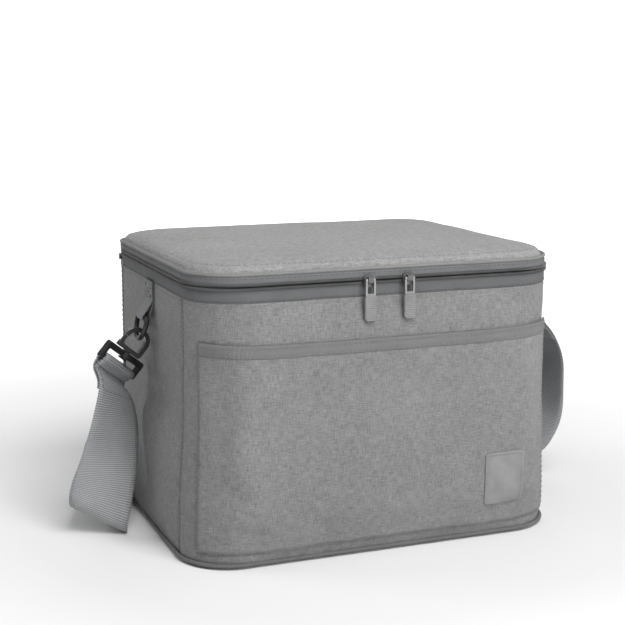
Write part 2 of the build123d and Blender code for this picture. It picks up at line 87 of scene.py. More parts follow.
# How far the soft parts stand off the frame
LEFT_FLARE = 5.2 * MM
RIGHT_FLARE = 0.9 * MM
FRONT_FLARE = 1.6 * MM
BACK_FLARE = 1.6 * MM
BULGE = 1.6 * MM
SEAM_DIP = 0.8 * MM
FOOT_DIP = 0.5 * MM
# Where the walls' and the pocket's cloth is pulled into upright creases, left of the front's middle
WALL_PULL, WALL_PULL_WIDTH = -128 * MM, 30 * MM
POCKET_PULL, POCKET_PULL_WIDTH = -108 * MM, 28 * MM

# Thicknesses
CLOTH = 0.8 * MM
POCKET_CLOTH = 0.7 * MM
BASE_CLOTH = 1.0 * MM
FILM_THICK = 0.3 * MM

# The zip tapes: their two faces off the outline, how much deeper the lower one is, their sewing
TAPE_FACE = 0.3 * MM
TAPE_BACK = -0.9 * MM
TAPE_DROP = 4.4 * MM
TAPE_LOW = LOWER_LOW.z - TAPE_DROP
TAPE_EASE = 0.35 * MM
LOWER_SEW = TAPE_LOW + 1.5 * MM
UPPER_SEW = UPPER_HIGH.z - 1.6 * MM

# The step between samples round the outline, and the stitches' length and gap
SAMPLE = 3 * MM
STITCH = 2.9 * MM
STITCH_GAP = 1.3 * MM
THREAD_SIDES = 5
# A thread's places along its length, each with its lift and its thickness as shares of the radius
THREAD_SHAPE = ((0.0, -0.55, 0.7), (0.22, 0.35, 1.0), (0.78, 0.35, 1.0), (1.0, -0.55, 0.7))


# ---- shapes

def smooth(t):
    """Eases from 0 to 1 as t goes from 0 to 1."""
    t = min(max(t, 0.0), 1.0)
    return t * t * (3 - 2 * t)


def ripple(a, b, size, seed):
    """Smooth noise from -1 to 1 over a surface, with features about size metres across."""
    return noise.noise(Vector((a / size, b / size, seed)))


def outline(s, grow=0.0):
    """The plan outline's point and outward direction, s metres round from the front's middle."""
    side, d = (1.0 if s >= 0 else -1.0), abs(s)
    if d > HALF:
        side, d = -side, 2 * HALF - d
    if d <= FRONT_RUN:
        x, y, nx, ny = d, FRONT_Y, 0.0, -1.0
    elif d <= FRONT_SEAM:
        a = (d - FRONT_RUN) / FRONT_RADIUS
        nx, ny = sin(a), -cos(a)
        x, y = FRONT_RUN + FRONT_RADIUS * nx, FRONT_Y + FRONT_RADIUS * (1 + ny)
    elif d <= BACK_SEAM:
        x, y, nx, ny = SIDE_X, FRONT_Y + FRONT_RADIUS + d - FRONT_SEAM, 1.0, 0.0
    elif d <= BACK_CORNER:
        a = (d - BACK_SEAM) / BACK_RADIUS
        nx, ny = cos(a), sin(a)
        x, y = SIDE_X + BACK_RADIUS * (nx - 1), BACK_Y + BACK_RADIUS * (ny - 1)
    else:
        x, y, nx, ny = SIDE_X - BACK_RADIUS - (d - BACK_CORNER), BACK_Y, 0.0, 1.0
    return side * (x + nx * grow), y + ny * grow, side * nx, ny


def place(s, grow, z):
    """The point at one height that stands grow metres outside the outline."""
    x, y, _, _ = outline(s, grow)
    return x, y, z


def seat(s, grow, z):
    """The same point, with the direction that faces away from the bag there."""
    x, y, nx, ny = outline(s, grow)
    return (x, y, z), (nx, ny, 0.0)


def facing(s):
    """The direction away from the bag at a station."""
    return seat(s, 0.0, 0.0)[1]


def bell(away, width):
    """1 where away is nothing, falling to almost nothing two widths off."""
    return exp(-(away / width) ** 2)


def steps(start, end, step=SAMPLE):
    """Even values from start to end, about a step apart."""
    count = max(2, int(round((end - start) / step)) + 1)
    return [start + (end - start) * i / (count - 1) for i in range(count)]


def add_object(name, data, place=(0, 0, 0), towards=None):
    """Puts an object in the scene, its own -Z turned towards a direction when one is given."""
    obj = bpy.data.objects.new(name, data)
    obj.location = place
    if towards:
        obj.rotation_euler = towards.to_track_quat("-Z", "Y").to_euler()
    bpy.context.scene.collection.objects.link(obj)
    return obj


def add_mesh(name, verts, faces):
    """A smooth object from its points and faces."""
    mesh = bpy.data.meshes.new(name)
    mesh.from_pydata([tuple(v) for v in verts], [], faces)
    mesh.polygons.foreach_set("use_smooth", [True] * len(mesh.polygons))
    return add_object(name, mesh)


def grid(name, points, uvs, wrap_u=False, wrap_v=False, centre=False):
    """A mesh from rows of points. A wrapped direction closes on itself; uvs has one row more there.

    centre closes the hole that the rows' last points leave, round a point in its middle.
    """
    nu, nv = len(points), len(points[0])
    verts = [p for row in points for p in row]
    faces, corners = [], []
    for i in range(nu if wrap_u else nu - 1):
        for j in range(nv if wrap_v else nv - 1):
            a, b = (i + 1) % nu, (j + 1) % nv
            faces.append((i * nv + j, a * nv + j, a * nv + b, i * nv + b))
            corners += [uvs[i][j], uvs[i + 1][j], uvs[i + 1][j + 1], uvs[i][j + 1]]
    if wrap_v and not wrap_u:
        faces.append(tuple(range(nv)))
        faces.append(tuple((nu - 1) * nv + j for j in reversed(range(nv))))
        corners += list(uvs[0][:nv]) + [uvs[nu - 1][j] for j in reversed(range(nv))]
    if centre:
        rim = [i * nv + nv - 1 for i in range(nu)]
        verts.append(sum((Vector(verts[i]) for i in rim), Vector()) / nu)
        for a, b in zip(rim, rim[1:] + rim[:1]):
            faces.append((a, b, len(verts) - 1))
            corners += [verts[i][:2] for i in faces[-1]]
    obj = add_mesh(name, verts, faces)
    layer = obj.data.uv_layers.new(name="UVMap")
    layer.data.foreach_set("uv", np.array(corners, np.float32).ravel())
    if wrap_v or centre:
        face_out(obj.data)
    return obj


def disc(name, rows, uvs=None):
    """A surface from rows that run from its rim inwards, closed at its middle."""
    uvs = uvs or [[p[:2] for p in row] for row in rows]
    return grid(name, rows, uvs + uvs[:1], wrap_u=True, centre=True)


def face_out(mesh):
    """Turns a closed mesh's faces outwards."""
    bm = bmesh.new()
    bm.from_mesh(mesh)
    bmesh.ops.recalc_face_normals(bm, faces=bm.faces)
    bm.to_mesh(mesh)
    bm.free()


def sweep(name, stations, profile, wrap_u=False):
    """Carries a closed profile of (outwards, height) pairs round the outline."""
    points, uvs = [], []
    for s in stations:
        section = profile(s)
        points.append([place(s, grow, z) for grow, z in section])
        runs = [0.0]
        for (grow, z), (last_grow, last_z) in zip(section[1:], section):
            runs.append(runs[-1] + ((grow - last_grow) ** 2 + (z - last_z) ** 2) ** 0.5)
        uvs.append([(s, v) for v in runs + [runs[-1] + 1 * MM]])
    uvs.append([(2 * stations[-1] - stations[-2], v) for _, v in uvs[-1]])
    return grid(name, points, uvs, wrap_u, wrap_v=True)


def tape_section(low, high, foot, face, middle):
    """A tape's closed section with eased corners, its outer face running from foot to face."""
    return [(foot - TAPE_EASE, low), (foot, low + TAPE_EASE), *middle, (face, high - TAPE_EASE),
            (face - TAPE_EASE, high), (TAPE_BACK, high), (TAPE_BACK, low)]


def solidify(obj, thickness, offset=-1.0):
    mod = obj.modifiers.new("Thickness", "SOLIDIFY")
    mod.thickness, mod.offset = thickness, offset
    mod.use_even_offset = False
    mod.use_quality_normals = True


def ring(step=SAMPLE):
    """Stations all the way round, the last one left off because the ring closes."""
    return steps(-HALF, HALF, step)[:-1]


def tube_faces(rings, sides):
    """Faces of a tube with closed ends, from rings of points."""
    faces = []
    for i in range(rings - 1):
        for k in range(sides):
            m = (k + 1) % sides
            faces.append((i * sides + k, i * sides + m, (i + 1) * sides + m, (i + 1) * sides + k))
    faces.append(tuple(reversed(range(sides))))
    faces.append(tuple((rings - 1) * sides + k for k in range(sides)))
    return faces


def runs_along(points):
    """How far along a line each of its points lies."""
    runs = [0.0]
    for a, b in zip(points, points[1:]):
        runs.append(runs[-1] + (b - a).length)
    return runs


def hoop(centre, across, up, radius, sides):
    """One ring of a tube's points."""
    turns = [2 * pi * k / sides for k in range(sides)]
    return [centre + across * (radius * cos(a)) + up * (radius * sin(a)) for a in turns]


def stitches(name, rows, body, material, radius=0.26 * MM, length=STITCH, gap=STITCH_GAP):
    """Separate threads along rows of (point, outward direction), sunk a little at both ends."""
    verts, faces = [], []
    rings = len(THREAD_SHAPE)
    thread_faces = tube_faces(rings, THREAD_SIDES)
    for row in rows:
        points = [Vector(p) for p, _ in row]
        outs = [Vector(n).normalized() for _, n in row]
        runs = runs_along(points)
        count = int(runs[-1] // (length + gap))
        spread = runs[-1] / max(count, 1)
        for k in range(count):
            path, normals = [], []
            for share, lift, _ in THREAD_SHAPE:
                at = k * spread + share * length + gap / 2
                index = min(max(bisect_left(runs, at) - 1, 0), len(runs) - 2)
                t = (at - runs[index]) / max(runs[index + 1] - runs[index], 1e-9)
                n = outs[index].lerp(outs[index + 1], min(t, 1.0)).normalized()
                path.append(points[index].lerp(points[index + 1], t) + n * (lift * radius))
                normals.append(n)
            faces += [tuple(len(verts) + i for i in face) for face in thread_faces]
            for i, (p, n) in enumerate(zip(path, normals)):
                ahead = (path[min(i + 1, rings - 1)] - path[max(i - 1, 0)]).normalized()
                across = ahead.cross(n).normalized()
                verts += hoop(p, across, n, radius * THREAD_SHAPE[i][2], THREAD_SIDES)
    obj = add_mesh(name, verts, faces)
    face_out(obj.data)
    obj.data.materials.append(material)
    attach(obj, body)
    return obj


def outline_row(start, end, surface):
    """A row of stitches' points round the outline: surface(s) gives (outwards, height)."""
    return [seat(s, *surface(s)) for s in steps(start, end)]


def spline(points, per_span):
    """A smooth line through points (Catmull-Rom)."""
    points = [Vector(p) for p in points]
    out = []
    for i in range(len(points) - 1):
        a, b, c = points[max(i - 1, 0)], points[i], points[i + 1]
        d = points[min(i + 2, len(points) - 1)]
        for t in (k / per_span for k in range(per_span)):
            out.append(0.5 * ((2 * b) + (c - a) * t + (2 * a - 5 * b + 4 * c - d) * t ** 2
                              + (3 * b - a - 3 * c + d) * t ** 3))
    return out + [points[-1]]


def ribbon(name, centres, widths, width, thick, across=10):
    """A flat strap with rounded edges through centres, each with the direction of its width."""
    points, uvs, normals, runs = [], [], [], runs_along(centres)
    for i, (c, w) in enumerate(zip(centres, widths)):
        ahead = centres[min(i + 1, len(centres) - 1)] - centres[max(i - 1, 0)]
        w = w.normalized()
        n = w.cross((ahead - w * ahead.dot(w)).normalized())
        row = []
        for side in (1, -1):
            for k in range(across + 1):
                t = (2 * k / across - 1) * side
                edge = 1 - max(0.0, (abs(t) - 0.94) / 0.06) ** 2 * 0.75
                row.append(c + w * (t * width / 2) + n * (side * thick / 2 * edge))
        normals.append(n)
        points.append(row)
        uvs.append([(runs[i], (k % (across + 1)) / across * width) for k in range(len(row) + 1)])
    return grid(name, points, uvs, wrap_v=True), runs[-1], normals


# ---- materials

# A wave texture's scale times the pitch of its bands
BAND = 0.314


class Material:
    """A node material built step by step around one Principled shader."""

    def __init__(self, name, roughness=0.8, **settings):
        self.data = bpy.data.materials.new(name)
        self.data.use_nodes = True
        self.tree = self.data.node_tree
        self.shader = self.tree.nodes["Principled BSDF"]
        self.shader.inputs["Roughness"].default_value = roughness
        for key, value in settings.items():
            self.shader.inputs[key.replace("_", " ")].default_value = value

    def put(self, socket, value):
        if isinstance(value, bpy.types.NodeSocket):
            self.tree.links.new(value, socket)
        else:
            socket.default_value = value

    def node(self, kind, **values):
        made = self.tree.nodes.new(kind)
        for key, value in values.items():
            self.put(made.inputs[key.replace("_", " ")], value)
        return made

    def coords(self, kind="Object", scale=(1, 1, 1), turn=0.0):
        mapped = self.node("ShaderNodeMapping", Scale=scale, Rotation=(0, 0, turn))
        self.put(mapped.inputs["Vector"], self.node("ShaderNodeTexCoord").outputs[kind])
        return mapped.outputs[0]

    def noise(self, vector, scale=1.0, detail=2.0, roughness=0.5):
        return self.node("ShaderNodeTexNoise", Vector=vector, Scale=scale, Detail=detail,
                         Roughness=roughness).outputs["Fac"]

    def cells(self, vector, scale):
        return self.node("ShaderNodeTexVoronoi", Vector=vector, Scale=scale).outputs["Distance"]

    def wave(self, vector, scale, direction="X"):
        made = self.node("ShaderNodeTexWave", Vector=vector, Scale=scale)
        made.wave_profile = "SIN"
        made.bands_direction = direction
        return made.outputs["Fac"]

    def math(self, operation, a, b):
        made = self.node("ShaderNodeMath")
        made.operation = operation
        for socket, value in zip(made.inputs, (a, b)):
            self.put(socket, value)
        return made.outputs[0]

    def ramp(self, factor, *stops, tint=(1, 1, 1)):
        """Greys, slightly tinted, at stops along a factor."""
        made = self.node("ShaderNodeValToRGB", Fac=factor)
        elements = made.color_ramp.elements
        while len(elements) < len(stops):
            elements.new(0.5)
        for element, (position, value) in zip(elements, stops):
            element.position = position
            element.color = (*(value * t for t in tint), 1.0)
        return made.outputs["Color"]

    def mix(self, factor, a, b, mode="MIX"):
        made = self.node("ShaderNodeMix")
        made.data_type = "RGBA"
        made.blend_type = mode
        sockets = [x for x in made.inputs if x.type == "RGBA"]
        self.put(made.inputs["Factor"], factor)
        self.put(sockets[0], a)
        self.put(sockets[1], b)
        return [x for x in made.outputs if x.type == "RGBA"][0]

    def shade(self, tone, amount, factor, *stops):
        """Darkens and lightens a tone by greys along a factor."""
        return self.mix(amount, tone, self.ramp(factor, *stops), "MULTIPLY")

    def colour(self, socket):
        self.put(self.shader.inputs["Base Color"], socket)

    def rough(self, socket, low, high):
        spread = self.node("ShaderNodeMapRange", Value=socket, To_Min=low, To_Max=high)
        self.put(self.shader.inputs["Roughness"], spread.outputs["Result"])

    def bump(self, height, distance, strength=1.0):
        made = self.node("ShaderNodeBump", Height=height, Distance=distance, Strength=strength)
        normal = self.shader.inputs["Normal"]
        if normal.is_linked:
            self.put(made.inputs["Normal"], normal.links[0].from_socket)
        self.put(normal, made.outputs["Normal"])


def heather(name, dark, light, tint, thread=0.75 * MM):
    """Plain-woven melange polyester: light and dark threads, each changing tone along its run."""
    m = Material(name, 0.88, Sheen_Weight=0.12, Sheen_Roughness=0.6, Specular_IOR_Level=0.3)
    pitch = 1 / thread
    warp = m.noise(m.coords("UV", (pitch, pitch / 9, 1)), 1.0, 2.0, 0.7)
    weft = m.noise(m.coords("UV", (pitch / 9, pitch, 1)), 1.0, 2.0, 0.7)
    flat = m.coords("UV")
    up = m.wave(flat, pitch / 6.28 * pi, "X")
    over = m.wave(flat, pitch / 6.28 * pi, "Y")
    weave = m.math("MULTIPLY", up, over)
    chooser = m.math("GREATER_THAN", m.math("SUBTRACT", up, over), 0.0)
    stops = (0.30, dark), (0.52, (dark + light) / 2), (0.74, light)
    tone = m.ramp(m.mix(chooser, warp, weft), *stops, tint=tint)
    slow = m.noise(m.coords("Object"), 14.0, 3.0, 0.6)
    tone = m.shade(tone, 0.5, slow, (0.3, 0.86), (0.7, 1.12))
    mottle = m.noise(m.coords("Object"), 160.0, 3.0, 0.7)
    m.colour(m.shade(tone, 0.32, mottle, (0.35, 0.72), (0.65, 1.18)))
    m.rough(slow, 0.82, 0.94)
    m.bump(weave, 0.22 * MM, 0.6)
    m.bump(m.noise(m.coords("Object"), 900.0, 2.0), 0.12 * MM, 0.35)
    return m.data


def ribbed(name, dark, light, pitch, direction, tint=(1, 1, 1), roughness=0.8, cross=0.0):
    """Narrow woven tape or webbing with ribs across or along it."""
    m = Material(name, roughness, Sheen_Weight=0.08, Specular_IOR_Level=0.35)
    flat = m.coords("UV")
    ribs = m.wave(flat, BAND / pitch, direction)
    other = m.wave(flat, BAND / (pitch * 1.7), "Y" if direction == "X" else "X")
    grain = m.noise(m.coords("UV", (1400, 1400, 1)), 1.0, 2.0, 0.7)
    slow = m.noise(m.coords("Object"), 30.0, 3.0)
    height = m.math("ADD", ribs, m.math("MULTIPLY", other, cross))
    tone = m.ramp(m.mix(0.5, ribs, grain), (0.25, dark), (0.75, light), tint=tint)
    m.colour(m.shade(tone, 0.4, slow, (0.3, 0.8), (0.7, 1.15)))
    m.rough(grain, roughness - 0.08, roughness + 0.1)
    m.bump(height, 0.3 * MM, 0.7)
    m.bump(grain, 0.08 * MM, 0.4)
    return m.data


def moulded(name, dark, light, roughness, tint=(1, 1, 1), grain=1800.0, metallic=0.0, coat=0.0):
    """Moulded plastic or painted metal: fine grain, slight scuffs that change its gloss."""
    m = Material(name, roughness, Metallic=metallic, Coat_Weight=coat, Coat_Roughness=0.2)
    where = m.coords("Object")
    fine = m.noise(where, grain, 2.0)
    scuff = m.noise(m.coords("Object", (60, 60, 420), 0.4), 1.0, 4.0, 0.7)
    blotch = m.noise(where, 90.0, 3.0)
    m.colour(m.ramp(m.mix(0.5, scuff, blotch), (0.3, dark), (0.72, light), tint=tint))
    m.rough(scuff, roughness - 0.1, roughness + 0.16)
    m.bump(fine, 0.05 * MM, 0.4)
    return m.data


def silver_film():
    """The soft lining: thin silver film with a fine pressed pattern and handling creases, with
    painted shade in the creases' hollows.
    """
    m = Material("silver film", 0.36, Metallic=0.35, Coat_Weight=0.25, Coat_Roughness=0.3)
    pressed = m.cells(m.coords("Object"), 420.0)
    crease = m.noise(m.coords("Object", (1, 1, 0.6)), 38.0, 5.0, 0.65)
    # The tone follows the crease bump: painted shade in the creases' hollows, painted light on their
    # ridges.
    m.colour(m.ramp(crease, (0.3, 0.30), (0.7, 0.50), tint=(1, 1.01, 1.02)))
    m.rough(crease, 0.28, 0.5)
    m.bump(crease, 2.0 * MM, 0.5)
    m.bump(pressed, 0.15 * MM, 0.5)
    return m.data


def foam(name, tint):
    """Closed-cell foam: pale, matt, with small cells."""
    m = Material(name, 0.9, Subsurface_Weight=0.0)
    where = m.coords("Object")
    cells = m.cells(where, 900.0)
    m.colour(m.ramp(m.noise(where, 30.0, 3.0), (0.3, 0.72), (0.7, 0.86), tint=tint))
    m.bump(cells, 0.3 * MM, 0.6)
    return m.data


def rubber(name, dark, light, pitch=0.0):
    """Soft moulded rubber or printed vinyl, with level ribs when pitch is given."""
    m = Material(name, 0.55, Specular_IOR_Level=0.4)
    where = m.coords("Object")
    slow = m.noise(where, 70.0, 4.0, 0.6)
    m.colour(m.ramp(slow, (0.3, dark), (0.7, light)))
    m.rough(slow, 0.46, 0.66)
    if pitch:
        m.bump(m.wave(where, pi / (pitch * 6.28), "Z"), 0.35 * MM, 0.8)
    m.bump(m.noise(where, 1500.0, 2.0), 0.06 * MM, 0.5)
    return m.data


def thread(name, dark, light):
    """Twisted sewing thread."""
    m = Material(name, 0.7, Sheen_Weight=0.15)
    where = m.coords("Object", (1, 1, 1), 0.7)
    twist = m.wave(where, 700.0, "DIAGONAL")
    fibre = m.noise(where, 2500.0, 2.0)
    m.colour(m.ramp(m.mix(0.5, twist, fibre), (0.3, dark), (0.7, light)))
    m.bump(twist, 0.08 * MM, 0.6)
    return m.data


COOL = (0.97, 1.0, 1.03)
NEUTRAL = (1.0, 0.995, 0.99)
BODY_CLOTH = heather("body heather", 0.122, 0.335, NEUTRAL)
# A lighter copy of the body's heather: painted light on the lid's top, where the top light falls.
LID_CLOTH_PAINTED_LIGHT = heather("lid heather painted lighter", 0.19, 0.45, NEUTRAL)
# One piping cloth in two tones: the lid's copy is painted lighter as painted light on the top edge,
# the base's copy darker as painted shade at the foot.
LID_PIPING_PAINTED_LIGHT = ribbed("lid piping cloth", 0.16, 0.32, 0.9 * MM, "X", NEUTRAL)
BASE_PIPING_PAINTED_SHADE = ribbed("piping cloth", 0.095, 0.19, 0.9 * MM, "X")
# Darker than the body's heather: painted shade along the pocket's mouth.
HEM_CLOTH_PAINTED_SHADE = ribbed("hem cloth", 0.115, 0.25, 0.8 * MM, "X", NEUTRAL)
# The two tapes of one zip in two tones: the upper tape is painted lighter as painted light, the lower
# one darker as painted shade under the lid.
LOWER_ZIP_TAPE_PAINTED_SHADE = ribbed("zip tape", 0.09, 0.17, 0.7 * MM, "Y", COOL)
UPPER_ZIP_TAPE_PAINTED_LIGHT = ribbed("upper zip tape", 0.12, 0.22, 0.7 * MM, "Y", COOL)
BINDING_CLOTH = ribbed("binding tape", 0.045, 0.10, 1.0 * MM, "X")
WEBBING = ribbed("strap webbing", 0.20, 0.41, 1.6 * MM, "X", COOL, 0.78, 0.6)
# A darker copy of the strap's webbing: painted shade on the tabs under the zip band.
TAB_WEBBING_PAINTED_SHADE = ribbed("tab webbing", 0.15, 0.32, 1.3 * MM, "X", COOL, 0.78, 0.6)
COIL = moulded("zip coil", 0.08, 0.15, 0.45)
SLIDER_METAL = moulded("slider metal", 0.10, 0.20, 0.38, NEUTRAL, 1600.0, 0.7, 0.3)
PULL_METAL = moulded("pull metal", 0.28, 0.38, 0.34, NEUTRAL, 1600.0, 0.75, 0.2)
GRIP_RUBBER = rubber("pull grip", 0.19, 0.26, 2.2 * MM)
BLACK_PLASTIC = moulded("black plastic", 0.012, 0.026, 0.42, COOL, 1400.0, 0.0, 0.15)
PATCH_VINYL = rubber("patch vinyl", 0.205, 0.27)
FILM = silver_film()
FOAM = foam("insulation foam", (1.0, 1.0, 0.97))
BOARD = moulded("base board", 0.03, 0.06, 0.7)
BODY_THREAD = thread("grey thread", 0.12, 0.26)
DARK_THREAD = thread("dark thread", 0.05, 0.10)


def dress(obj, material, body, slot, *nodes):
    """Gives a finished piece its material and its body, and hides the nodes that it stands for; slot
    is not used.
    """
    if not obj.data.materials:
        obj.data.materials.append(material)
    if body:
        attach(obj, body)
    if nodes:
        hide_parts(*nodes)
    return obj


# ---- cloth simulation

def settle(name, us, vs, start, out, pinned, limits, pressure, slack, stiffness, frames=18):
    """Lets a pinned cloth swell for a few frames, and tells how far it came out at each place.

    start(u, v) is a place on the cloth, out(u) its outward direction, pinned(i, j) how firmly
    it is held.
    """
    width = len(vs)
    starts = [[start(u, v) for v in vs] for u in us]
    obj = grid(name, starts, [[(u, v) for v in vs] for u in us])
    group = obj.vertex_groups.new(name="pin")
    for i in range(len(us)):
        for j in range(width):
            weight = pinned(i, j)
            if weight > 0:
                group.add([i * width + j], weight, "REPLACE")
    cloth = obj.modifiers.new("Cloth", "CLOTH")
    rules = cloth.settings
    rules.quality = 6
    rules.mass = 0.25
    rules.tension_stiffness = rules.compression_stiffness = 14
    rules.shear_stiffness = 6
    rules.bending_stiffness = stiffness
    rules.air_damping = 2.0
    rules.vertex_group_mass = "pin"
    rules.use_pressure = True
    rules.uniform_pressure_force = pressure
    rules.shrink_min = -slack
    rules.effector_weights.gravity = 0.0
    cloth.collision_settings.use_collision = False
    cloth.point_cache.frame_start = 1
    cloth.point_cache.frame_end = frames
    scene = bpy.context.scene
    for number in range(1, frames + 1):
        scene.frame_set(number)
    settled = obj.evaluated_get(bpy.context.evaluated_depsgraph_get())
    after = np.array([v.co for v in settled.data.vertices], float).reshape(len(us), width, 3)
    scene.frame_set(1)
    bpy.data.objects.remove(obj)
    outs = np.array([out(u) for u in us])
    return Relief(us, vs, np.einsum("ijk,ik->ij", after - np.array(starts), outs), *limits)


class Relief:
    """How far a settled cloth stands off its start, looked up by place on the cloth."""

    def __init__(self, us, vs, offsets, low, high):
        self.us, self.vs = us, vs
        self.field = np.clip(offsets, low, high)
        for _ in range(2):
            padded = np.pad(self.field, 1, mode="edge")
            self.field = (padded[1:-1, 1:-1] * 4 + padded[:-2, 1:-1] + padded[2:, 1:-1]
                          + padded[1:-1, :-2] + padded[1:-1, 2:]) / 8

    def at(self, u, v):
        def cell(value, axis):
            t = (value - axis[0]) / (axis[-1] - axis[0]) * (len(axis) - 1)
            t = min(max(t, 0.0), len(axis) - 1.001)
            i = int(t)
            f = t - i
            return i, f * f * (3 - 2 * f) * 0.5 + f * 0.5
        i, a = cell(u, self.us)
        j, b = cell(v, self.vs)
        f = self.field
        return float((f[i, j] * (1 - a) + f[i + 1, j] * a) * (1 - b)
                     + (f[i, j + 1] * (1 - a) + f[i + 1, j + 1] * a) * b)


def seam_distance(s):
    """How far round the outline the nearest upright seam is."""
    d = abs(s)
    return min(abs(d - FRONT_SEAM), abs(d - BACK_SEAM))


def settle_walls():
    """The cloth of the four walls, held at the base, under the zip and at the four seams."""
    us, vs = steps(-HALF, HALF, 5.5 * MM), steps(BODY_LOW, BODY_TOP, 5.5 * MM)

    def pinned(i, j):
        if j in (0, len(vs) - 1) or i in (0, len(us) - 1):
            return 1.0
        return 0.85 if seam_distance(us[i]) < 3 * MM else 0.0

    return settle("wall_cloth", us, vs, lambda s, z: place(s, 0.0, z), facing, pinned,
                  (-0.3 * MM, 5.0 * MM), pressure=3.0, slack=0.016, stiffness=1.5)


def settle_lid():
    """The lid's cloth, held at its edge, over the crowned foam."""
    us, vs = steps(-HALF, HALF, 7 * MM), steps(0.05, 1.0, 0.035)
    return settle("lid_cloth_start", us, vs, lid_point, lambda s: (0.0, 0.0, 1.0),
                  lambda i, j: 1.0 if j == len(vs) - 1 else 0.0,
                  (-0.4 * MM, 1.5 * MM), pressure=2.2, slack=0.012, stiffness=2.5)


def settle_pocket():
    """The pocket's cloth, sewn at its sides and base and free along its top."""
    us, vs = steps(-POCKET_SIDE, POCKET_SIDE, 5 * MM), steps(POCKET_LOW.z, POCKET_HIGH.z, 5 * MM)

    def pinned(i, j):
        if j == 0 or i in (0, len(us) - 1):
            return 1.0
        return 0.5 if j == len(vs) - 1 else 0.0

    return settle("pocket_cloth_start", us, vs, lambda s, z: place(s, pocket_stand(s, z), z), facing,
                  pinned, (-1.2 * MM, 2.2 * MM), pressure=0.9, slack=0.02, stiffness=0.8)


# ---- the bag's walls

def flare(s):
    """How much further out than the zip the bag stands at its base."""
    nx, ny, _ = facing(s)
    return (LEFT_FLARE * max(-nx, 0) + RIGHT_FLARE * max(nx, 0)
            + FRONT_FLARE * max(-ny, 0) + BACK_FLARE * max(ny, 0))


def skin_grow(s, z):
    """How far the skin stands off the CAD outline at one place."""
    h = (z - BODY_LOW) / (BODY_TOP - BODY_LOW)
    away = seam_distance(s)
    held = sin(pi * min(max(h, 0.0), 1.0))
    grow = flare(s) * (1 - smooth((h - 0.05) / 0.55))
    grow += BULGE * held * (1 - smooth((h - 0.35) / 0.3)) * smooth(away / (40 * MM))
    side_top = smooth((h - 0.42) / 0.16) * smooth((abs(facing(s)[0]) - 0.9) * 10)
    grow += wall_relief.at(s, z) * (1 - 0.9 * side_top)
    edges = smooth((z - BODY_LOW) / (14 * MM)) * smooth((BODY_TOP - z) / (16 * MM))
    grow += edges * (0.42 * MM * ripple(s, z * 1.3, 46 * MM, 1.7)
                     + 0.22 * MM * ripple(s, z * 0.5, 15 * MM, 7.1))
    pull = bell(s - WALL_PULL, WALL_PULL_WIDTH)
    grow += edges * pull * 0.45 * MM * ripple(s, z * 0.12, 7 * MM, 3.3)
    grow -= SEAM_DIP * bell(away, 1.9 * MM) * smooth((BODY_TOP - z) / (6 * MM))
    grow -= FOOT_DIP * bell(z - BODY_LOW, 3 * MM)
    return grow


def wall_panel(name, start, end, node):
    """One panel of the skin, from seam to seam and from the base to behind the zip tape."""
    columns, heights = steps(start, end), steps(BODY_LOW, BODY_TOP)
    tuck = (-1.3 * MM, BODY_TOP + 1.4 * MM)
    points = [[place(s, skin_grow(s, z), z) for z in heights] + [place(s, *tuck)] for s in columns]
    uvs = [[(s, p[2]) for p in row] for s, row in zip(columns, points)]
    obj = grid(name, points, uvs)
    solidify(obj, CLOTH)
    dress(obj, BODY_CLOTH, "bag", "body_fabric", node)


def build_walls():
    """The four panels, and the rows beside their seams and under the zip."""
    wall_panel("front_cloth", -FRONT_SEAM, FRONT_SEAM, "front_panel")
    wall_panel("left_side_cloth", -BACK_SEAM, -FRONT_SEAM, "left_side_panel")
    wall_panel("right_side_cloth", FRONT_SEAM, BACK_SEAM, "right_side_panel")
    wall_panel("back_cloth", BACK_SEAM, 2 * HALF - BACK_SEAM, "back_panel")
    heights = steps(BODY_LOW + 6 * MM, BODY_TOP - 3 * MM)
    rows = []
    for seam in (-BACK_SEAM, -FRONT_SEAM, FRONT_SEAM, BACK_SEAM):
        for s in (seam - 3.4 * MM, seam + 3.4 * MM):
            rows.append([seat(s, skin_grow(s, z), z) for z in heights])
    top = BODY_TOP - 2.4 * MM - TAPE_DROP
    rows.append(outline_row(-HALF, HALF, lambda s: (skin_grow(s, top), top)))
    stitches("wall_stitching", rows, "bag", BODY_THREAD)


def piping(node, body, material, grow, wander, seed, sides=10):
    """A round cord in a seam all round; grow(s, radius) is how far out its middle lies."""
    low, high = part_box(node)
    middle, radius = (low.z + high.z) / 2, (high.z - low.z) / 2
    turns = [2 * pi * k / sides for k in range(sides)]

    def section(s):
        out, z = grow(s, radius), middle + wander * ripple(s, 0, 0.03, seed)
        return [(out + radius * cos(a), z + radius * sin(a)) for a in turns]

    cord = sweep(node + "_cloth", ring(), section, wrap_u=True)
    dress(cord, material, body, "piping_fabric", node)


def build_base():
    """The base panel, just wider than the walls where they flare, and the piping in its seam."""
    z = 0.6 * MM
    shares = (1.0, 0.97, 0.9, 0.8, 0.65, 0.5, 0.35, 0.2, 0.08)
    points = []
    for s in ring(6 * MM):
        x, y, _, _ = outline(s, flare(s) - 0.2 * MM)
        row = []
        for r in shares:
            lift = 0.35 * MM * (1 - r) * (1 + ripple(x * r, y * r, 0.05, 4.0))
            row.append((x * r, y * r, z + lift + (0.5 * MM if r == 1.0 else 0.0)))
        points.append(row)
    base = disc("base_cloth", points)
    solidify(base, BASE_CLOTH, 0.0)
    dress(base, BODY_CLOTH, "bag", "body_fabric", "base_panel")
    piping("bottom_piping", "bag", BASE_PIPING_PAINTED_SHADE, lambda s, radius: flare(s) + radius, 0.1 * MM, 2.0)


# ---- the front pocket

POCKET_STAND = 5.2 * MM
HEM_DEEP = HEM_HIGH.z - HEM_LOW.z
PATCH_CORNER = 2.6 * MM
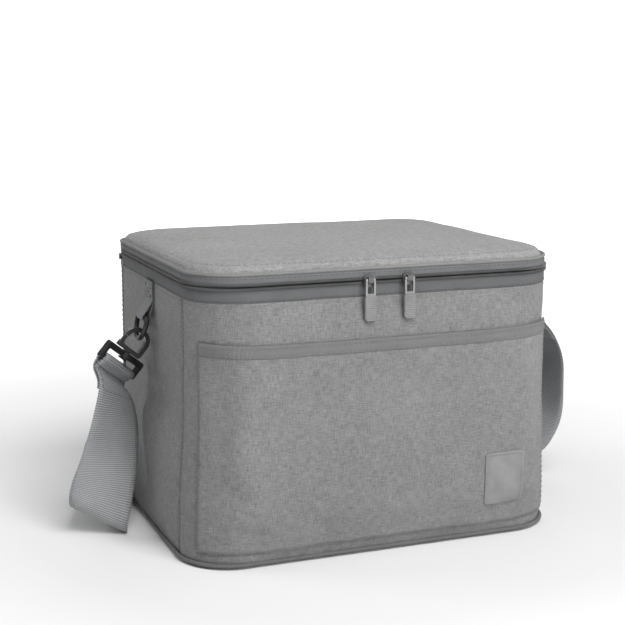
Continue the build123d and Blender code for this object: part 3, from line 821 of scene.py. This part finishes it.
# The patch's section from its rim inwards: how far in, and how high, with the dip under its seam
PATCH_SECTION = ((0.0, 0.15), (-0.02, 0.75), (0.35, 1.05), (1.0, 1.15), (2.2, 1.12), (2.7, 0.9),
                 (3.2, 1.1), (6.0, 1.15), (10.0, 1.15), (15.0, 1.15))


def pocket_stand(s, z):
    """How far the pocket's cloth stands off the CAD outline before it settles."""
    height = (z - POCKET_LOW.z) / (POCKET_HIGH.z - POCKET_LOW.z)
    side = smooth((POCKET_SIDE - abs(s)) / (34 * MM))
    base = smooth((z - POCKET_LOW.z) / (26 * MM))
    belly = 0.62 + 0.38 * sin(pi * min(height * 0.8 + 0.15, 1.0))
    return 1.5 * MM + (POCKET_STAND - 1.5 * MM) * side * base * belly


def pocket_grow(s, z):
    """How far the settled pocket stands off the outline: always clear of the skin behind it."""
    side = smooth((POCKET_SIDE - abs(s)) / (20 * MM))
    base = smooth((z - POCKET_LOW.z) / (16 * MM))
    under = skin_grow(s, z)
    grow = pocket_stand(s, z) + max(under, 0.0) * (1 - 0.6 * side * base)
    grow += pocket_relief.at(s, z) * side * base
    grow += side * base * (0.55 * MM * ripple(s, z * 0.7, 52 * MM, 9.2)
                           + 0.25 * MM * ripple(s, z * 0.4, 17 * MM, 5.5))
    pull = bell(s - POCKET_PULL, POCKET_PULL_WIDTH)
    grow += base * pull * 0.55 * MM * ripple(s, z * 0.12, 8 * MM, 8.3)
    return max(grow, under + 0.7 * MM)


def pocket_top(s):
    """The pocket's mouth dips a little in its middle, where nothing holds it."""
    side = smooth((POCKET_SIDE - abs(s)) / (90 * MM))
    return POCKET_HIGH.z - 1.6 * MM * side + 0.4 * MM * ripple(s, 0, 0.05, 6.0)


def hem_section(s):
    """The band folded over the pocket's mouth: thicker outside, thin over the fold."""
    top = pocket_top(s)
    foot = top - HEM_DEEP
    out, low = pocket_grow(s, top), pocket_grow(s, foot)
    outer, inner = 0.55 * MM, -1.35 * MM
    return [
        (low + outer * 0.6, foot), (low + outer, foot + 0.5 * MM),
        ((low + out) / 2 + outer + 0.25 * MM, top - HEM_DEEP / 2), (out + outer, top - 1.0 * MM),
        (out + outer * 0.4, top + 0.3 * MM), (out + inner * 0.4, top + 0.55 * MM),
        (out + inner, top + 0.2 * MM), (out + inner, top - 1.2 * MM),
        ((low + out) / 2 + inner, top - HEM_DEEP / 2), (low + inner, foot),
    ]


def build_pocket():
    """The pocket's cloth from seam to seam, with the hem along its mouth."""
    columns = steps(-POCKET_SIDE, POCKET_SIDE, 2.8 * MM)
    points = []
    for s in columns:
        rise = pocket_top(s) - POCKET_LOW.z
        heights = [POCKET_LOW.z + rise * share for share in steps(0.0, 1.0, 0.019)]
        points.append([place(s, pocket_grow(s, z), z) for z in heights])
    uvs = [[(s + 0.2, p[2]) for p in row] for s, row in zip(columns, points)]
    pocket = grid("pocket_cloth", points, uvs)
    solidify(pocket, POCKET_CLOTH)
    dress(pocket, BODY_CLOTH, "bag", "body_fabric", "pocket_panel")
    end = POCKET_SIDE + 0.6 * MM
    hem = sweep("pocket_hem_band", steps(-end, end, 2.8 * MM), hem_section)
    dress(hem, HEM_CLOTH_PAINTED_SHADE, "bag", "piping_fabric", "pocket_hem")


def sew_pocket():
    """Two rows along the hem, and two inside the pocket's sides and base."""
    rows = []
    for drop in (1.8 * MM, HEM_DEEP - 1.6 * MM):
        def on_hem(s, drop=drop):
            z = pocket_top(s) - drop
            return pocket_grow(s, z) + 0.62 * MM, z
        rows.append(outline_row(-POCKET_SIDE + 1 * MM, POCKET_SIDE - 1 * MM, on_hem))
    for inside in (2.2 * MM, 7.5 * MM):
        end, low = POCKET_SIDE - inside, POCKET_LOW.z + inside
        rows.append(outline_row(-end, end, lambda s: (pocket_grow(s, low), low)))
        heights = steps(low, POCKET_HIGH.z - HEM_DEEP - 1 * MM)
        rows += [[seat(s, pocket_grow(s, z), z) for z in heights] for s in (-end, end)]
    stitches("pocket_stitching", rows, "bag", BODY_THREAD)


def rounded_square(half_w, half_h, corner, arc=6, straight=16):
    """Points round a rounded square, from its lower right corner, always the same number."""
    corners = []
    for quarter, (sx, sz) in enumerate(((1, -1), (1, 1), (-1, 1), (-1, -1))):
        x, z = sx * (half_w - corner), sz * (half_h - corner)
        turns = [(quarter + k / arc) * pi / 2 for k in range(arc + 1)]
        corners.append([(x + corner * sin(a), z - corner * cos(a)) for a in turns])
    border = []
    for here, following in zip(corners, corners[1:] + corners[:1]):
        (x0, z0), (x1, z1) = here[-1], following[0]
        shares = [k / straight for k in range(1, straight)]
        border += here + [(x0 + (x1 - x0) * t, z0 + (z1 - z0) * t) for t in shares]
    return border


def build_patch():
    """The blank patch: a thin plate with rounded corners, laid on the pocket and sewn round."""
    centre_s, _, centre_z = [(a + b) / 2 for a, b in zip(PATCH_LOW, PATCH_HIGH)]
    half_w, _, half_h = [(b - a) / 2 for a, b in zip(PATCH_LOW, PATCH_HIGH)]

    def border(inset, corner):
        return rounded_square(half_w - inset, half_h - inset, corner)

    def on_pocket(dx, dz, lift):
        s, z = centre_s + dx, centre_z + dz
        return seat(s, pocket_grow(s, z) + lift, z)

    rings = []
    for inset, lift in PATCH_SECTION:
        inset = min(inset * MM, half_w - 1.5 * MM)
        spots = border(inset, max(PATCH_CORNER - inset, 0.6 * MM))
        rings.append([on_pocket(dx, dz, lift * MM)[0] for dx, dz in spots])
    points = list(zip(*rings))
    patch = disc("label_patch_plate", points, [[(p[0], p[2]) for p in row] for row in points])
    dress(patch, PATCH_VINYL, "bag", "patch", "label_patch")
    seam = border(1.9 * MM, PATCH_CORNER - 1.9 * MM)
    row = [on_pocket(dx, dz, 1.12 * MM) for dx, dz in seam + seam[:1]]
    stitches("patch_stitching", [row], "bag", BODY_THREAD, 0.22 * MM, 2.4 * MM, 1.1 * MM)


# ---- the zip and the hinge

def coil(name, z, sign, body, node):
    """One half of the zip: a nylon coil that winds round the edge of its tape."""
    pitch, stand, reach, drop, wire = 1.6 * MM, 1.15 * MM, 0.72 * MM, 0.98 * MM, 0.34 * MM
    per_turn, sides = 10, 5
    total = int(2 * ZIP_END / pitch) * per_turn
    verts = []
    for i in range(total + 1):
        a = 2 * pi * i / per_turn
        lean = 0.18 * pitch * sin(2 * a)
        s = -ZIP_END + pitch * i / per_turn + lean
        centre, (nx, ny, _) = seat(s, stand + reach * cos(a), z + sign * drop * sin(a))
        across = Vector((nx * cos(a), ny * cos(a), sign * sin(a)))
        verts += hoop(Vector(centre), across, Vector((-ny, nx, 0.0)), wire, sides)
    obj = add_mesh(name, verts, tube_faces(total + 1, sides))
    face_out(obj.data)
    dress(obj, COIL, body, "zip_coil", node)


def lower_sew(over_tape, over_wall):
    """Where the row runs that sews the lower tape or the hinge cloth to the wall."""
    def surface(s):
        grow = max(TAPE_FACE + over_tape, skin_grow(s, TAPE_LOW) + over_wall)
        return grow, LOWER_SEW
    return surface


def build_zip():
    """Both tapes with their coils. The lower one's deep edge lies over the swell of the wall."""
    stations = steps(-ZIP_END, ZIP_END)

    def lower(s):
        foot = max(TAPE_FACE, skin_grow(s, TAPE_LOW) + TAPE_EASE)
        face = TAPE_FACE + 0.1 * MM * ripple(s, 0, 0.04, 1.0)
        middle = ((foot, TAPE_LOW + 2.2 * MM), (face + 0.25 * MM, (TAPE_LOW + LOWER_HIGH.z) / 2))
        return tape_section(TAPE_LOW, LOWER_HIGH.z, foot, face, middle)

    def upper(s):
        low, high = UPPER_LOW.z, UPPER_HIGH.z + 0.3 * MM
        face = TAPE_FACE + 0.1 * MM * ripple(s, 0, 0.04, 2.0)
        middle = [(face + 0.25 * MM, (low + high) / 2 + part * (high - low) / 6) for part in (-1, 1)]
        return tape_section(low, high, face, face, middle)

    for name, section, cloth, body in (("lower", lower, LOWER_ZIP_TAPE_PAINTED_SHADE, "bag"),
                                       ("upper", upper, UPPER_ZIP_TAPE_PAINTED_LIGHT, "lid")):
        tape = sweep(f"zip_tape_{name}", stations, section)
        dress(tape, cloth, body, "zip_tape", f"zipper_tape_{name}")
    coil("zip_coil_lower", SPLIT_Z - 1.45 * MM, -1, "bag", "zipper_coil_lower")
    coil("zip_coil_upper", SPLIT_Z + 1.45 * MM, 1, "lid", "zipper_coil_upper")
    rows = [outline_row(-ZIP_END, ZIP_END, lower_sew(0.12 * MM, 0.45 * MM))]
    stitches("tape_stitching_lower", rows, "bag", DARK_THREAD)
    rows = [outline_row(-ZIP_END, ZIP_END, lambda s: (TAPE_FACE + 0.12 * MM, UPPER_SEW))]
    stitches("tape_stitching_upper", rows, "lid", DARK_THREAD)


def build_hinge():
    """One strip of cloth that closes the back, from the body's top seam to the lid's edge."""
    start = ZIP_END - 1 * MM
    end = 2 * HALF - start
    low, high = TAPE_LOW, UPPER_HIGH.z + 0.3 * MM
    heights = steps(low, high, 0.95 * MM)

    def section(s):
        outer = []
        for z in heights:
            h = (z - low) / (high - low)
            crease = 0.55 * MM * bell(z - SPLIT_Z, 1.2 * MM)
            wave = 0.18 * MM * ripple(s, z, 0.02, 3.0) * sin(pi * h)
            wall = max(0.0, skin_grow(s, z) + 0.3 * MM - TAPE_FACE) * smooth(1 - h * 2.5)
            outer.append((TAPE_FACE + 0.25 * MM * sin(pi * h) - crease + wave + wall, z))
        return outer + [(grow - 0.9 * MM, z) for grow, z in reversed(outer)]

    hinge = sweep("hinge_cloth", steps(start, end), section)
    dress(hinge, BODY_CLOTH, None, "body_fabric", "back_hinge_strip", "lid_back_band")
    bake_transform(hinge)
    rows = [outline_row(start, end, lower_sew(0.1 * MM, 0.4 * MM))]
    stitches("hinge_stitching_lower", rows, "bag", BODY_THREAD)
    rows = [outline_row(start, end, lambda s: (TAPE_FACE + 0.1 * MM, UPPER_SEW))]
    stitches("hinge_stitching_upper", rows, "lid", BODY_THREAD)


# ---- the lid

LID_INSET = SIDE_X - LID_HIGH.x
LID_EDGE = LID_LOW.z + 1.2 * MM
LID_RISE = LID_HIGH.z - LID_LOW.z + 3.2 * MM
# The crown rises steeply over its first few millimetres, then ever more gently
LID_REACH = 138 * MM
CROWN_RUN = 9.7 * MM
CROWN_POWER = 0.505


def lid_point(s, r):
    """A point on the lid's top: r is 0 at its middle and 1 at its edge."""
    x, y, _ = place(s, -LID_INSET, 0.0)
    inwards = (1 - r) * LID_REACH
    height = LID_RISE * (1 - exp(-((inwards / CROWN_RUN) ** CROWN_POWER))) if inwards > 0 else 0.0
    edge = smooth(inwards / (3.2 * MM))
    return x * r, y * r, LID_EDGE + height * (0.35 + 0.65 * edge)


def lid_surface(s, r):
    """The settled cloth: ripples inside its edge, and a dip just inside the piping."""
    x, y, z = lid_point(s, r)
    ripples = 0.45 * MM * ripple(x, y, 0.075, 2.2) + 0.2 * MM * ripple(x, y, 0.026, 5.1)
    lift = smooth((1 - r) / 0.05) * (ripples + lid_relief.at(s, r))
    rim = 0.5 * MM * exp(-((1 - r) * LID_REACH / (5.2 * MM) - 1) ** 2 * 9)
    return x, y, z + lift - rim


def build_lid():
    """The crowned cloth, the piping round it and the row just inside."""
    shares = [1.0, 0.996, 0.99, 0.983, 0.975, 0.967, 0.96, 0.95, 0.94, 0.925, 0.91, 0.89, 0.87]
    shares += [0.84 - 0.03 * k for k in range(27)]
    top = disc("lid_cloth", [[lid_surface(s, r) for r in shares] for s in ring()])
    solidify(top, CLOTH)
    dress(top, LID_CLOTH_PAINTED_LIGHT, "lid", "lid_fabric", "lid_top_panel")
    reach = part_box("lid_piping")[1].x - SIDE_X
    piping("lid_piping", "lid", LID_PIPING_PAINTED_LIGHT, lambda s, radius: reach - radius, 0.12 * MM, 9.0)
    row = [(lid_surface(s, 0.966), (0.0, 0.0, 1.0)) for s in steps(-HALF, HALF)]
    stitches("lid_stitching", [row], "lid", BODY_THREAD)


def build_lid_liner():
    """The film under the lid's foam, pulled nearly flat and sewn round its edge."""
    inset = SIDE_X - LINER_HIGH.x
    middle = (LINER_LOW.z + LINER_HIGH.z) / 2
    shares = [1.0, 0.985, 0.96] + [0.92 - 0.04 * k for k in range(21)]

    def film_point(s, r):
        x, y, _ = place(s, -inset, 0.0)
        x, y = x * r, y * r
        fold = 0.3 * MM * ripple(x, y, 0.03, 2.0) + 0.15 * MM * ripple(x, y, 0.011, 4.0)
        return x, y, middle - 0.1 * MM + fold * smooth((1 - r) / 0.03)

    liner = disc("lid_liner_film", [[film_point(s, r) for r in shares] for s in ring(4 * MM)])
    solidify(liner, FILM_THICK, 0.0)
    dress(liner, FILM, "lid", "lining_film", "lid_liner")
    sewn = LINER_LOW.z + 0.1 * MM
    row = [(place(s, -inset - 2.5 * MM, sewn), (0.0, 0.0, -1.0)) for s in steps(-HALF, HALF)]
    stitches("lid_liner_stitching", [row], "lid", DARK_THREAD)


# ---- the lining

def build_lining():
    """The film tub, creased like soft film: four walls, a bend at their foot and a floor."""
    inset = SIDE_X - TUB_HIGH.x + 0.45 * MM
    top, floor_z, bend = TUB_HIGH.z, TUB_LOW.z + 0.5 * MM, 7 * MM
    path = [(0.0, z) for z in steps(top, floor_z + bend, 4 * MM)]
    path += [(bend * (1 - cos(a)), floor_z + bend * (1 - sin(a))) for a in steps(0.2, pi / 2, 0.28)]
    shares = [0.97, 0.94, 0.9] + [0.86 - 0.05 * k for k in range(16)]
    points, uvs = [], []
    for s in ring(4 * MM):
        row = []
        for inwards, z in path:
            held = smooth((top - z) / (12 * MM)) * smooth(1 - inwards / bend)
            fold = held * (0.35 * MM + 0.55 * MM * ripple(s, z, 0.03, 11.0)
                           + 0.3 * MM * ripple(s, z, 0.012, 12.0))
            row.append(place(s, -inset - inwards - max(fold, 0.0), z))
        x, y, _ = place(s, -inset - bend, floor_z)
        for r in shares:
            fold = 0.3 * MM + 0.5 * MM * ripple(x * r, y * r, 0.03, 13.0)
            row.append((x * r, y * r, floor_z + max(fold, 0.0) * smooth((1 - r) / 0.06)))
        points.append(row)
        uvs.append([(s, z) for _, z in path] + [(x * r, y * r) for r in shares])
    tub = disc("liner_film", points, uvs)
    solidify(tub, FILM_THICK, 0.0)
    dress(tub, FILM, "bag", "lining_film", "liner_tub")


def build_binding():
    """The tape that binds the rim, over the tops of the foam and the film."""
    outer, inner = RIM_HIGH.x - SIDE_X, -(SIDE_X - TUB_HIGH.x) - 0.8 * MM
    low, high = RIM_LOW.z, RIM_HIGH.z

    def section(s):
        edge = inner - 0.9 * MM + 0.12 * MM * ripple(s, 0, 0.03, 3.0)
        return [
            (outer, low), (outer, high - 0.7 * MM), (outer - 0.5 * MM, high - 0.15 * MM),
            ((outer + inner) / 2, high), (inner + 0.2 * MM, high - 0.1 * MM),
            (edge, high - 0.9 * MM), (edge, high - 6 * MM), (edge, low - 7.5 * MM),
            (edge + 0.6 * MM, low - 7.6 * MM), (edge + 0.6 * MM, low),
        ]

    rim = sweep("rim_binding_tape", ring(), section, wrap_u=True)
    dress(rim, BINDING_CLOTH, "bag", "binding_tape", "rim_binding")
    row = outline_row(-HALF, HALF, lambda s: (inner - 0.95 * MM, low - 5.5 * MM))
    row = [(p, (-n[0], -n[1], 0.0)) for p, n in row]
    stitches("rim_stitching", [row], "bag", DARK_THREAD)


# ---- the strap

RING_BAR = Vector((SIDE_X + 7.5 * MM, 0.0, 172 * MM))
RING_DROP = 18 * MM
RING_TILT = radians(15)
HOOK_BAR = 28 * MM
WRAP_RADIUS = 3.7 * MM
WEB_WIDTH = 50 * MM
WEB_THICK = 1.7 * MM
FOLD_BACK = 27 * MM
# From the fold to the near end of the strap's stitched box, and its length, in points of the route
BOX_START, BOX_LONG = 8, 12
SEW_SIDE = 0.42
# The strap's route between its hooks: centre, then the direction of its width
STRAP_LEFT = [
    ((-0.181, 0, 0.112), (-0.66, -0.62, 0.42)),
    ((-0.183, -0.002, 0.087), (-0.84, -0.48, 0.20)),
    ((-0.189, -0.007, 0.061), (-0.96, -0.22, 0.12)),
    ((-0.197, -0.015, 0.039), (-0.96, 0.06, 0.24)),
    ((-0.202, -0.020, 0.0225), (-0.88, 0.24, 0.40)),
    ((-0.201, -0.014, 0.0128), (-0.84, 0.24, 0.46)),
    ((-0.196, 0.006, 0.0130), (-0.84, 0.16, 0.50)),
    ((-0.188, 0.033, 0.0157), (-0.80, 0.06, 0.60)),
    ((-0.183, 0.061, 0.0202), (-0.62, 0.00, 0.78)),
    ((-0.179, 0.090, 0.0252), (-0.35, 0.00, 0.94)),
]
STRAP_REAR = [
    ((0.170, 0.118, 0.0285), (0.12, -0.05, 0.99)),
    ((0.152, 0.142, 0.0305), (0, 0, 1)),
    ((0.125, 0.154, 0.031), (0, 0, 1)),
    ((0.092, 0.157, 0.031), (0, 0, 1)),
    ((0.045, 0.157, 0.031), (0, 0, 1)),
]
STRAP_RIGHT = [
    ((0.178, 0.090, 0.0252), (0.35, 0.00, 0.94)),
    ((0.181, 0.062, 0.0197), (0.62, 0.00, 0.78)),
    ((0.182, 0.038, 0.0145), (0.84, 0.00, 0.54)),
    ((0.184, 0.018, 0.0108), (0.94, -0.10, 0.34)),
    ((0.188, 0.005, 0.0185), (0.89, -0.41, 0.22)),
    ((0.197, 0, 0.038), (0.68, -0.73, 0.10)),
    ((0.210, 0, 0.062), (0.34, -0.94, 0.00)),
    ((0.217, 0, 0.088), (0.05, -1.00, 0.00)),
    ((0.217, 0, 0.112), (0.00, -1.00, 0.00)),
    ((0.209, 0, 0.132), (0.00, -1.00, 0.00)),
]


def hook_axes(sign, lean, turn):
    """A hook's wire point, its direction away from the ring, and its strap bar's direction."""
    wire = RING_BAR + Vector((RING_DROP * sin(RING_TILT), 0, -RING_DROP * cos(RING_TILT)))
    wire.x *= sign
    along = Vector((sign * sin(lean), 0, -cos(lean)))
    outward = Vector((sign * cos(lean), 0, sin(lean)))
    bar = Vector((0, -cos(turn), 0)) + outward * sin(turn)
    return wire, along, bar


def folded_end(centres, widths, wire, along, bar):
    """The stretch that goes round a hook's bar, from its cut end to the start of the strap."""
    bar_centre = wire + along * HOOK_BAR
    normal = bar.cross(along).normalized()
    gap = (WEB_THICK + 0.15 * MM) / 2
    back, back_widths = [], []
    for i, run in enumerate(runs_along(centres)):
        if run > FOLD_BACK:
            break
        ahead = centres[i + 1] - centres[max(i - 1, 0)]
        n = widths[i].normalized().cross(ahead.normalized()).normalized()
        closed = smooth(run / (11 * MM))
        back.append(centres[i] - n * (gap + (WRAP_RADIUS - gap) * (1 - closed) + gap * closed))
        back_widths.append(widths[i])
        centres[i] = centres[i] + n * (WRAP_RADIUS * (1 - closed))
    side = 1 if (centres[0] - bar_centre).dot(normal) > 0 else -1
    loop = [bar_centre + (normal * (side * sin(a)) - along * cos(a)) * WRAP_RADIUS
            for a in steps(-pi / 2, pi / 2, pi / 10)[1:-1]]
    return back[::-1] + loop, back_widths[::-1] + [bar] * len(loop)


def build_strap():
    """The strap between its two hooks, each end folded round its hook's bar and sewn."""
    left = hook_axes(-1, radians(40), radians(50))
    right = hook_axes(1, radians(76), 0.0)

    def past(hook, run):
        wire, along, bar = hook
        return wire + along * (HOOK_BAR + run), bar

    def mirrored(station):
        return [(-x, y, z) for x, y, z in station]

    stations = [past(left, 0.0), past(left, 9 * MM), *STRAP_LEFT, *map(mirrored, STRAP_REAR),
                ((0.0, 0.157, 0.031), (0, 0, 1)), *reversed(STRAP_REAR), *STRAP_RIGHT,
                past(right, 9 * MM), past(right, 0.0)]
    centres = spline([c for c, _ in stations], 9)
    widths = [w.normalized() for w in spline([w for _, w in stations], 9)]
    ends = []
    for hook in (left, right):
        ends.append(folded_end(centres, widths, *hook))
        centres.reverse()
        widths.reverse()
    (start, start_widths), (end, end_widths) = ends
    centres = start + centres + end[::-1]
    widths = start_widths + widths + end_widths[::-1]
    strap, length, normals = ribbon("shoulder_strap_webbing", centres, widths, WEB_WIDTH, WEB_THICK)
    dress(strap, WEBBING, "strap", "strap_webbing",
          "strap_left_run", "strap_rear_run", "strap_right_run")

    def on_face(i, t):
        return centres[i] + widths[i] * (t * WEB_WIDTH) + normals[i] * (WEB_THICK / 2), normals[i]

    rows = []
    for first in (len(start) + BOX_START, len(centres) - len(end) - BOX_START - BOX_LONG):
        box = range(first, first + BOX_LONG)
        rows += [[on_face(i, t) for i in box] for t in (-SEW_SIDE, SEW_SIDE)]
        rows += [[on_face(i, t) for t in steps(-SEW_SIDE, SEW_SIDE, 0.06)] for i in (box[0], box[-1])]
    stitches("strap_stitching", rows, "strap", DARK_THREAD)


def build_ring_tab(sign, side):
    """A webbing tab: sewn flat under the zip, both layers, with the ring's bar in its loop."""
    low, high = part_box(f"{side}_ring_tab")
    thick, radius = 1.15 * MM, 3.0 * MM
    near, far = SIDE_X + 0.95 * MM, SIDE_X + 2.25 * MM

    def layer(*spots):
        return [(sign * x, 0, high.z - drop * MM) for x, drop in spots]

    path = layer((near, 0.3), (near, 8), (near, 15.5), (near + 0.9 * MM, 19.5))
    path += [(sign * (RING_BAR.x + radius * cos(a)), 0, RING_BAR.z + radius * sin(a))
             for a in steps(radians(165), radians(395), radians(23))]
    path += layer((far + 2.8 * MM, 20.5), (far, 15.5), (far, 8), (far, 0.3))
    centres = spline(path, 4)
    widths = [Vector((0, 1, 0))] * len(centres)
    tab, _, _ = ribbon(f"{side}_tab_webbing", centres, widths, high.y - low.y, thick)
    dress(tab, TAB_WEBBING_PAINTED_SHADE, "bag", "strap_webbing", f"{side}_ring_tab")
    face = sign * (far + thick / 2 + 0.05 * MM)
    half, top, bottom = (high.y - low.y) / 2 - 2.4 * MM, high.z - 2.2 * MM, high.z - 14 * MM
    corners = (-half, top), (half, top), (half, bottom), (-half, bottom)
    rows = []
    for a, b in ((0, 1), (1, 2), (2, 3), (3, 0), (0, 2), (1, 3)):
        (ya, za), (yb, zb) = corners[a], corners[b]
        rows.append([((face, ya + (yb - ya) * t, za + (zb - za) * t), (sign, 0, 0))
                     for t in steps(0, 1, 0.1)])
    stitches(f"{side}_tab_stitching", rows, "bag", DARK_THREAD)


# ---- the carried CAD nodes

CARRIED = (
    (BLACK_PLASTIC, ("left_snap_hook", "right_snap_hook", "left_hook_gate", "right_hook_gate",
                     "left_strap_frame", "right_strap_frame", "strap_adjuster",
                     "left_d_ring", "right_d_ring")),
    (SLIDER_METAL, ("left_zip_slider", "right_zip_slider", "zipper_end_stops")),
    (PULL_METAL, ("left_pull_tab", "right_pull_tab")),
    (GRIP_RUBBER, ("left_pull_grip", "right_pull_grip")),
    (FOAM, ("wall_foam", "base_foam", "lid_foam")),
    (BOARD, ("base_board",)),
)


def dress_carried():
    """Gives the CAD nodes that stay as they are their materials."""
    for material, names in CARRIED:
        for name in names:
            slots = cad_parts[name].data.materials
            slots.clear()
            slots.append(material)


# ---- floor, light and camera

AMBIENT = 0.12
BACKDROP_GLOW = 0.9
# The floor glows fully this far from the bag's middle, and fades out over a share of that distance
FLOOR_GLOW, GLOW_FULL, GLOW_FADE = 0.45, 0.8, 0.68
WHITE = (1.0, 1.0, 1.0, 1.0)
CAMERA_PLACE = (-0.411, -1.017, 0.360)
CAMERA_BACK = Vector((-0.3592, -0.9167, 0.1754))
CAMERA_LENS = 76.3
# Name, place, target, size and power of each light
LIGHTS = (
    ("top", (0.2, 0.1, 2.3), (0.1, 0.1, 0), (3.4, 3.0), 9.0),
    ("front", (0.7, -2.0, 0.9), (0, 0, 0.12), (1.2, 1.0), 18.0),
    ("top front", (0.15, -1.35, 1.9), (0, 0, 0.1), (1.4, 1.0), 38.0),
    ("left rear", (-1.7, 0.9, 1.3), (-0.15, 0, 0.2), (0.8, 0.6), 8.0),
)


def add_floor():
    """A pale floor that glows away from the bag, and a lit white backdrop behind it."""
    m = Material("floor", 0.9, Specular_IOR_Level=0.1, Emission_Color=WHITE)
    m.colour(m.ramp(m.noise(m.coords("Object"), 3.0, 2.0), (0.3, 0.86), (0.7, 0.88)))
    away = m.node("ShaderNodeTexGradient", Vector=m.coords("Object", (1 / GLOW_FULL,) * 3))
    away.gradient_type = "SPHERICAL"
    glow = m.node("ShaderNodeMapRange", Value=away.outputs["Fac"], From_Max=GLOW_FADE,
                  To_Min=FLOOR_GLOW, To_Max=0.0)
    m.put(m.shader.inputs["Emission Strength"], glow.outputs["Result"])
    points = [[(x, y, 0.0) for y in (-1.5, -0.5, 0.5, 2.0)] for x in (-1.6, -0.5, 0.8, 2.4)]
    ground = grid("floor", points, [[p[:2] for p in row] for row in points])
    ground.data.materials.append(m.data)
    lit = Material("backdrop", 0.5, Base_Color=(0.9, 0.9, 0.9, 1.0), Emission_Color=WHITE,
                   Emission_Strength=BACKDROP_GLOW)
    points = [[(x, y, z) for y, z in ((1.9, 0.0), (2.0, 0.4), (2.0, 1.4))]
              for x in (-0.5, 0.5, 1.4, 2.4)]
    backdrop = grid("backdrop", points, [[(p[0], p[2]) for p in row] for row in points])
    backdrop.data.materials.append(lit.data)


def add_light(name, place, target, size, power):
    """A soft rectangular lamp, turned towards its target."""
    data = bpy.data.lights.new(name, "AREA")
    data.shape = "RECTANGLE"
    data.size, data.size_y = size
    data.energy = power
    add_object(name, data, place, Vector(target) - Vector(place))


def add_camera():
    """The photo's view."""
    data = bpy.data.cameras.new("camera")
    data.lens, data.sensor_width = CAMERA_LENS, 36.0
    bpy.context.scene.camera = add_object("camera", data, CAMERA_PLACE, -CAMERA_BACK)


def add_world():
    """Dim light from all round; the empty background itself is white."""
    world = bpy.data.worlds.new("studio")
    world.use_nodes = True
    tree = world.node_tree
    ambient = tree.nodes["Background"]
    ambient.inputs["Color"].default_value = WHITE
    ambient.inputs["Strength"].default_value = AMBIENT
    white = tree.nodes.new("ShaderNodeBackground")
    white.inputs["Color"].default_value = WHITE
    chosen = tree.nodes.new("ShaderNodeMixShader")
    path = tree.nodes.new("ShaderNodeLightPath")
    tree.links.new(path.outputs["Is Camera Ray"], chosen.inputs[0])
    tree.links.new(ambient.outputs[0], chosen.inputs[1])
    tree.links.new(white.outputs[0], chosen.inputs[2])
    tree.links.new(chosen.outputs[0], tree.nodes["World Output"].inputs["Surface"])
    bpy.context.scene.world = world
    bpy.context.scene.view_settings.view_transform = "Standard"


add_camera()
add_world()
add_floor()
for light in LIGHTS:
    add_light(*light)
wall_relief = settle_walls()
lid_relief = settle_lid()
pocket_relief = settle_pocket()
for build in (build_walls, build_base, build_pocket, sew_pocket, build_patch, build_zip, build_hinge,
              build_lid, build_lid_liner, build_lining, build_binding, build_strap):
    build()
build_ring_tab(-1, "left")
build_ring_tab(1, "right")
dress_carried()
